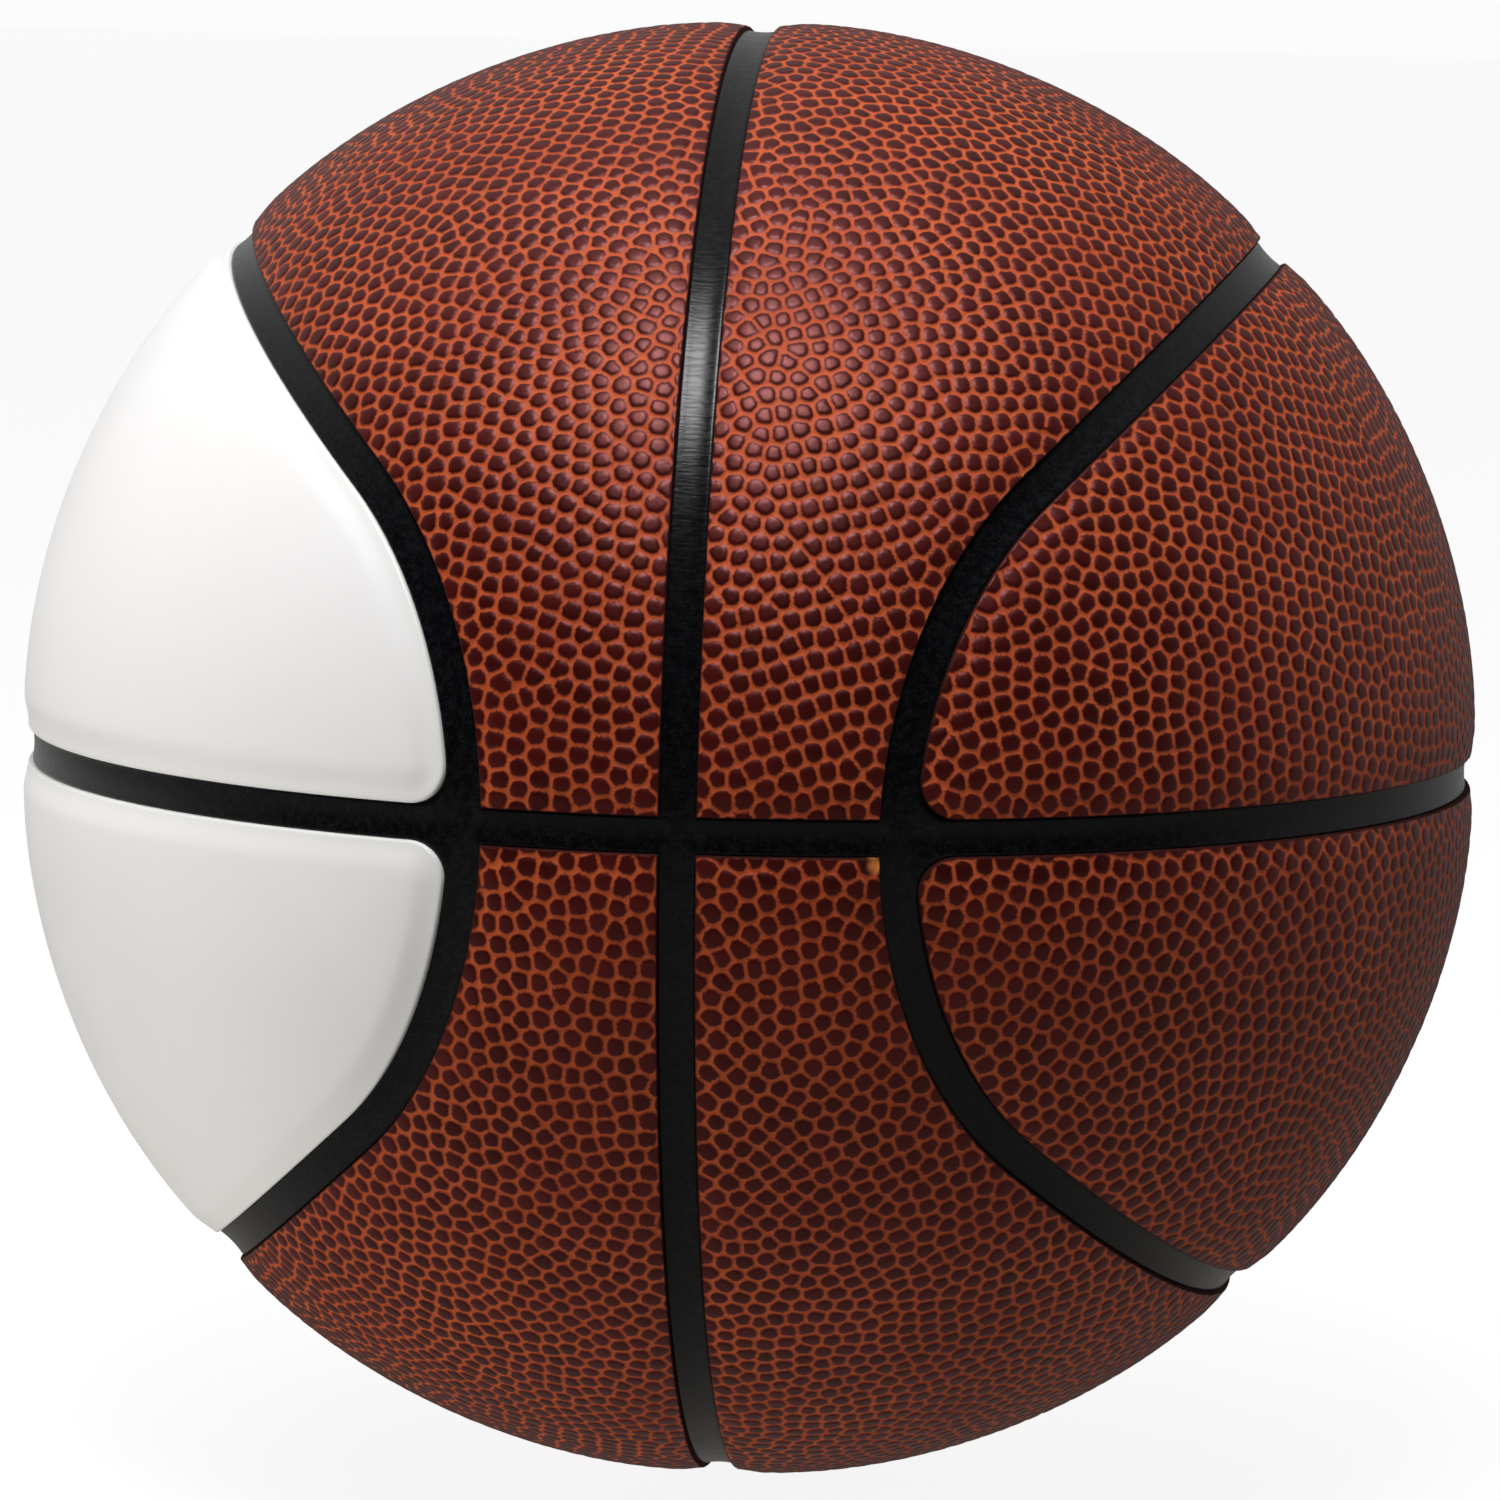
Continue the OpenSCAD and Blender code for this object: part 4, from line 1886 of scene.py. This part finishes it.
@dataclass
class Studio:
    """Camera at the photograph's angle, a plain pale floor and soft light."""

    azimuth: float = 5.05
    elevation: float = 6.5
    roll: float = math.radians(1.16)
    distance: float = 1.0575
    lens: float = 153.6
    sensor: float = 36.0
    shift: tuple[float, float] = (0.56 / 1500, -2.87 / 1500)
    clip: tuple[float, float] = (0.05, 200.0)
    floor_half: float = 60.0
    floor_colour: Colour = (0.1, 0.1, 0.1, 1.0)
    floor_glow: float = 0.9
    floor_rough: float = 0.9
    back_glow: float = 0.45
    lower_glow: float = 0.225
    low_tint: Colour = (1.0, 0.95, 0.89, 1.0)
    right_share: float = 0.62
    front_span: tuple[float, float] = (-0.5, 0.3)
    side_span: tuple[float, float] = (-0.5, 0.5)
    height_span: tuple[float, float] = (-0.3, 0.0)
    horizon_glow: float = 0.97

    def camera(self) -> None:
        """Makes the scene's camera, looking at the ball's centre with a slight roll."""
        back = toward(self.azimuth, self.elevation)
        up = (Vector((0, 0, 1)) - back * back.z).normalized()
        up = up * math.cos(self.roll) - up.cross(back) * math.sin(self.roll)
        data = bpy.data.cameras.new("camera")
        data.lens = self.lens
        data.sensor_width = self.sensor
        data.shift_x, data.shift_y = self.shift
        data.clip_start, data.clip_end = self.clip
        made = bpy.data.objects.new("camera", data)
        turn = Matrix((up.cross(back), up, back)).transposed()
        made.matrix_world = Matrix.Translation(back * self.distance) @ turn.to_4x4()
        bpy.context.scene.collection.objects.link(made)
        bpy.context.scene.camera = made

    def floor(self, level: float) -> None:
        """Makes the floor, a wide plain sheet just under the ball.

        Args:
            level: Height of the floor in metres.
        """
        h = self.floor_half
        corners = [(-h, -h, level), (h, -h, level), (h, h, level), (-h, h, level)]
        mesh = bpy.data.meshes.new("floor")
        mesh.from_pydata(corners, [], [(0, 1, 2, 3)])
        material = bpy.data.materials.new("floor")
        material.use_nodes = True
        shader = material.node_tree.nodes["Principled BSDF"]
        shader.inputs["Base Color"].default_value = self.floor_colour
        shader.inputs["Roughness"].default_value = self.floor_rough
        shader.inputs["Emission Color"].default_value = WHITE_LIGHT
        shader.inputs["Emission Strength"].default_value = self.floor_glow
        mesh.materials.append(material)
        made = bpy.data.objects.new("floor", mesh)
        made.visible_diffuse = False
        made.visible_glossy = False
        made.visible_shadow = False
        bpy.context.scene.collection.objects.link(made)
        made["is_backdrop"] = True

    def _surroundings(self) -> bpy.types.World:
        """Makes pale surroundings that are dim towards the front and below."""
        world = bpy.data.worlds.new("surroundings")
        world.use_nodes = True
        graph = Graph(world.node_tree)
        axes = graph.add("SeparateXYZ", {0: graph.add("TexCoord").outputs["Generated"]})
        front = graph.ramp(axes.outputs[1], *self.front_span, 0.0, self.back_glow)
        side = graph.ramp(axes.outputs[0], *self.side_span, 1.0, self.right_share)
        height = graph.ramp(axes.outputs[2], *self.height_span)
        glow = graph.between(height, self.lower_glow, graph.scaled(front, side))
        seen = graph.add("LightPath").outputs["Is Camera Ray"]
        tint = graph.blend(graph.maths("MAXIMUM", height, seen), self.low_tint, WHITE_LIGHT)
        back = world.node_tree.nodes["Background"]
        graph.tree.links.new(tint, back.inputs["Color"])
        strength = graph.between(seen, glow, self.horizon_glow)
        graph.tree.links.new(strength, back.inputs["Strength"])
        return world

    def light(self) -> None:
        """Sets the soft lights and the pale surroundings."""
        for light in SOFT_LIGHTS:
            light.make()
        bpy.context.scene.world = self._surroundings()
        bpy.context.scene.view_settings.view_transform = "Standard"


# The ball


@dataclass
class Basketball:
    """The whole ball: covers, pads, carcass, winding and valve."""

    finishes: Finishes
    layout: Layout = field(default_factory=Layout)
    pebble: PebbleSize = field(default_factory=PebbleSize)
    first_seed: int = 100
    pad_fill: float = 0.9

    def covers(self) -> None:
        """Makes the eight cover panels."""
        for number, quadrant in enumerate(QUADRANTS):
            for kind in Kind:
                smooth = kind is Kind.SIDE and quadrant.x < 0
                white_shape = SMOOTH_SHAPE if quadrant.z > 0 else LOWER_SMOOTH_SHAPE
                shape = white_shape if smooth else PEBBLED_SHAPE
                seed = self.first_seed + 10 * number + (kind is Kind.SIDE)
                pebble = None if smooth else self.pebble
                panel = CoverPanel(self.layout, kind, quadrant, shape, seed, pebble)
                ending = f"{kind.value}_{quadrant.label}"
                finish = self.finishes.white if smooth else self.finishes.brown
                hand_over(panel.build(f"cover_{ending}"), f"panel_{ending}", finish)

    def pads(self) -> None:
        """Makes the eight sponge pads."""
        for quadrant in QUADRANTS:
            for kind in Kind:
                ending = f"{kind.value}_{quadrant.label}"
                piece = CushionPad(self.layout, kind, quadrant).build(f"cushion_{ending}")
                hand_over(piece, f"pad_{ending}", self.finishes.sponge)

    def core(self) -> None:
        """Makes the carcass and winding, and dresses the bladder and its patch."""
        piece = Carcass(self.layout).build("channel_carcass")
        hand_over(piece, "carcass", self.finishes.channel)
        piece = Winding().build("thread_winding")
        hand_over(piece, "winding", self.finishes.thread)
        for node in ("bladder", "valve_patch"):
            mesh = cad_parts[node].data
            mesh.materials.clear()
            mesh.materials.append(self.finishes.butyl)

    def valve(self) -> None:
        """Makes the valve housing and its plug."""
        valve = Valve()
        rubber = self.finishes.valve
        hand_over(valve.housing("valve_boot"), "valve_housing", rubber)
        hand_over(valve.plug("valve_insert"), "valve_plug", rubber, "plug")


def main() -> None:
    """Builds the camera, the ball and the studio in order."""
    logging.basicConfig(level=logging.INFO, format="%(message)s")
    floor_gap = 0.0002
    studio = Studio()
    studio.camera()
    ball = Basketball(Finishes())
    ball.covers()
    ball.pads()
    ball.core()
    ball.valve()
    low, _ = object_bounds()
    studio.floor(low.z - floor_gap)
    studio.light()


if __name__ == "__main__":
    main()
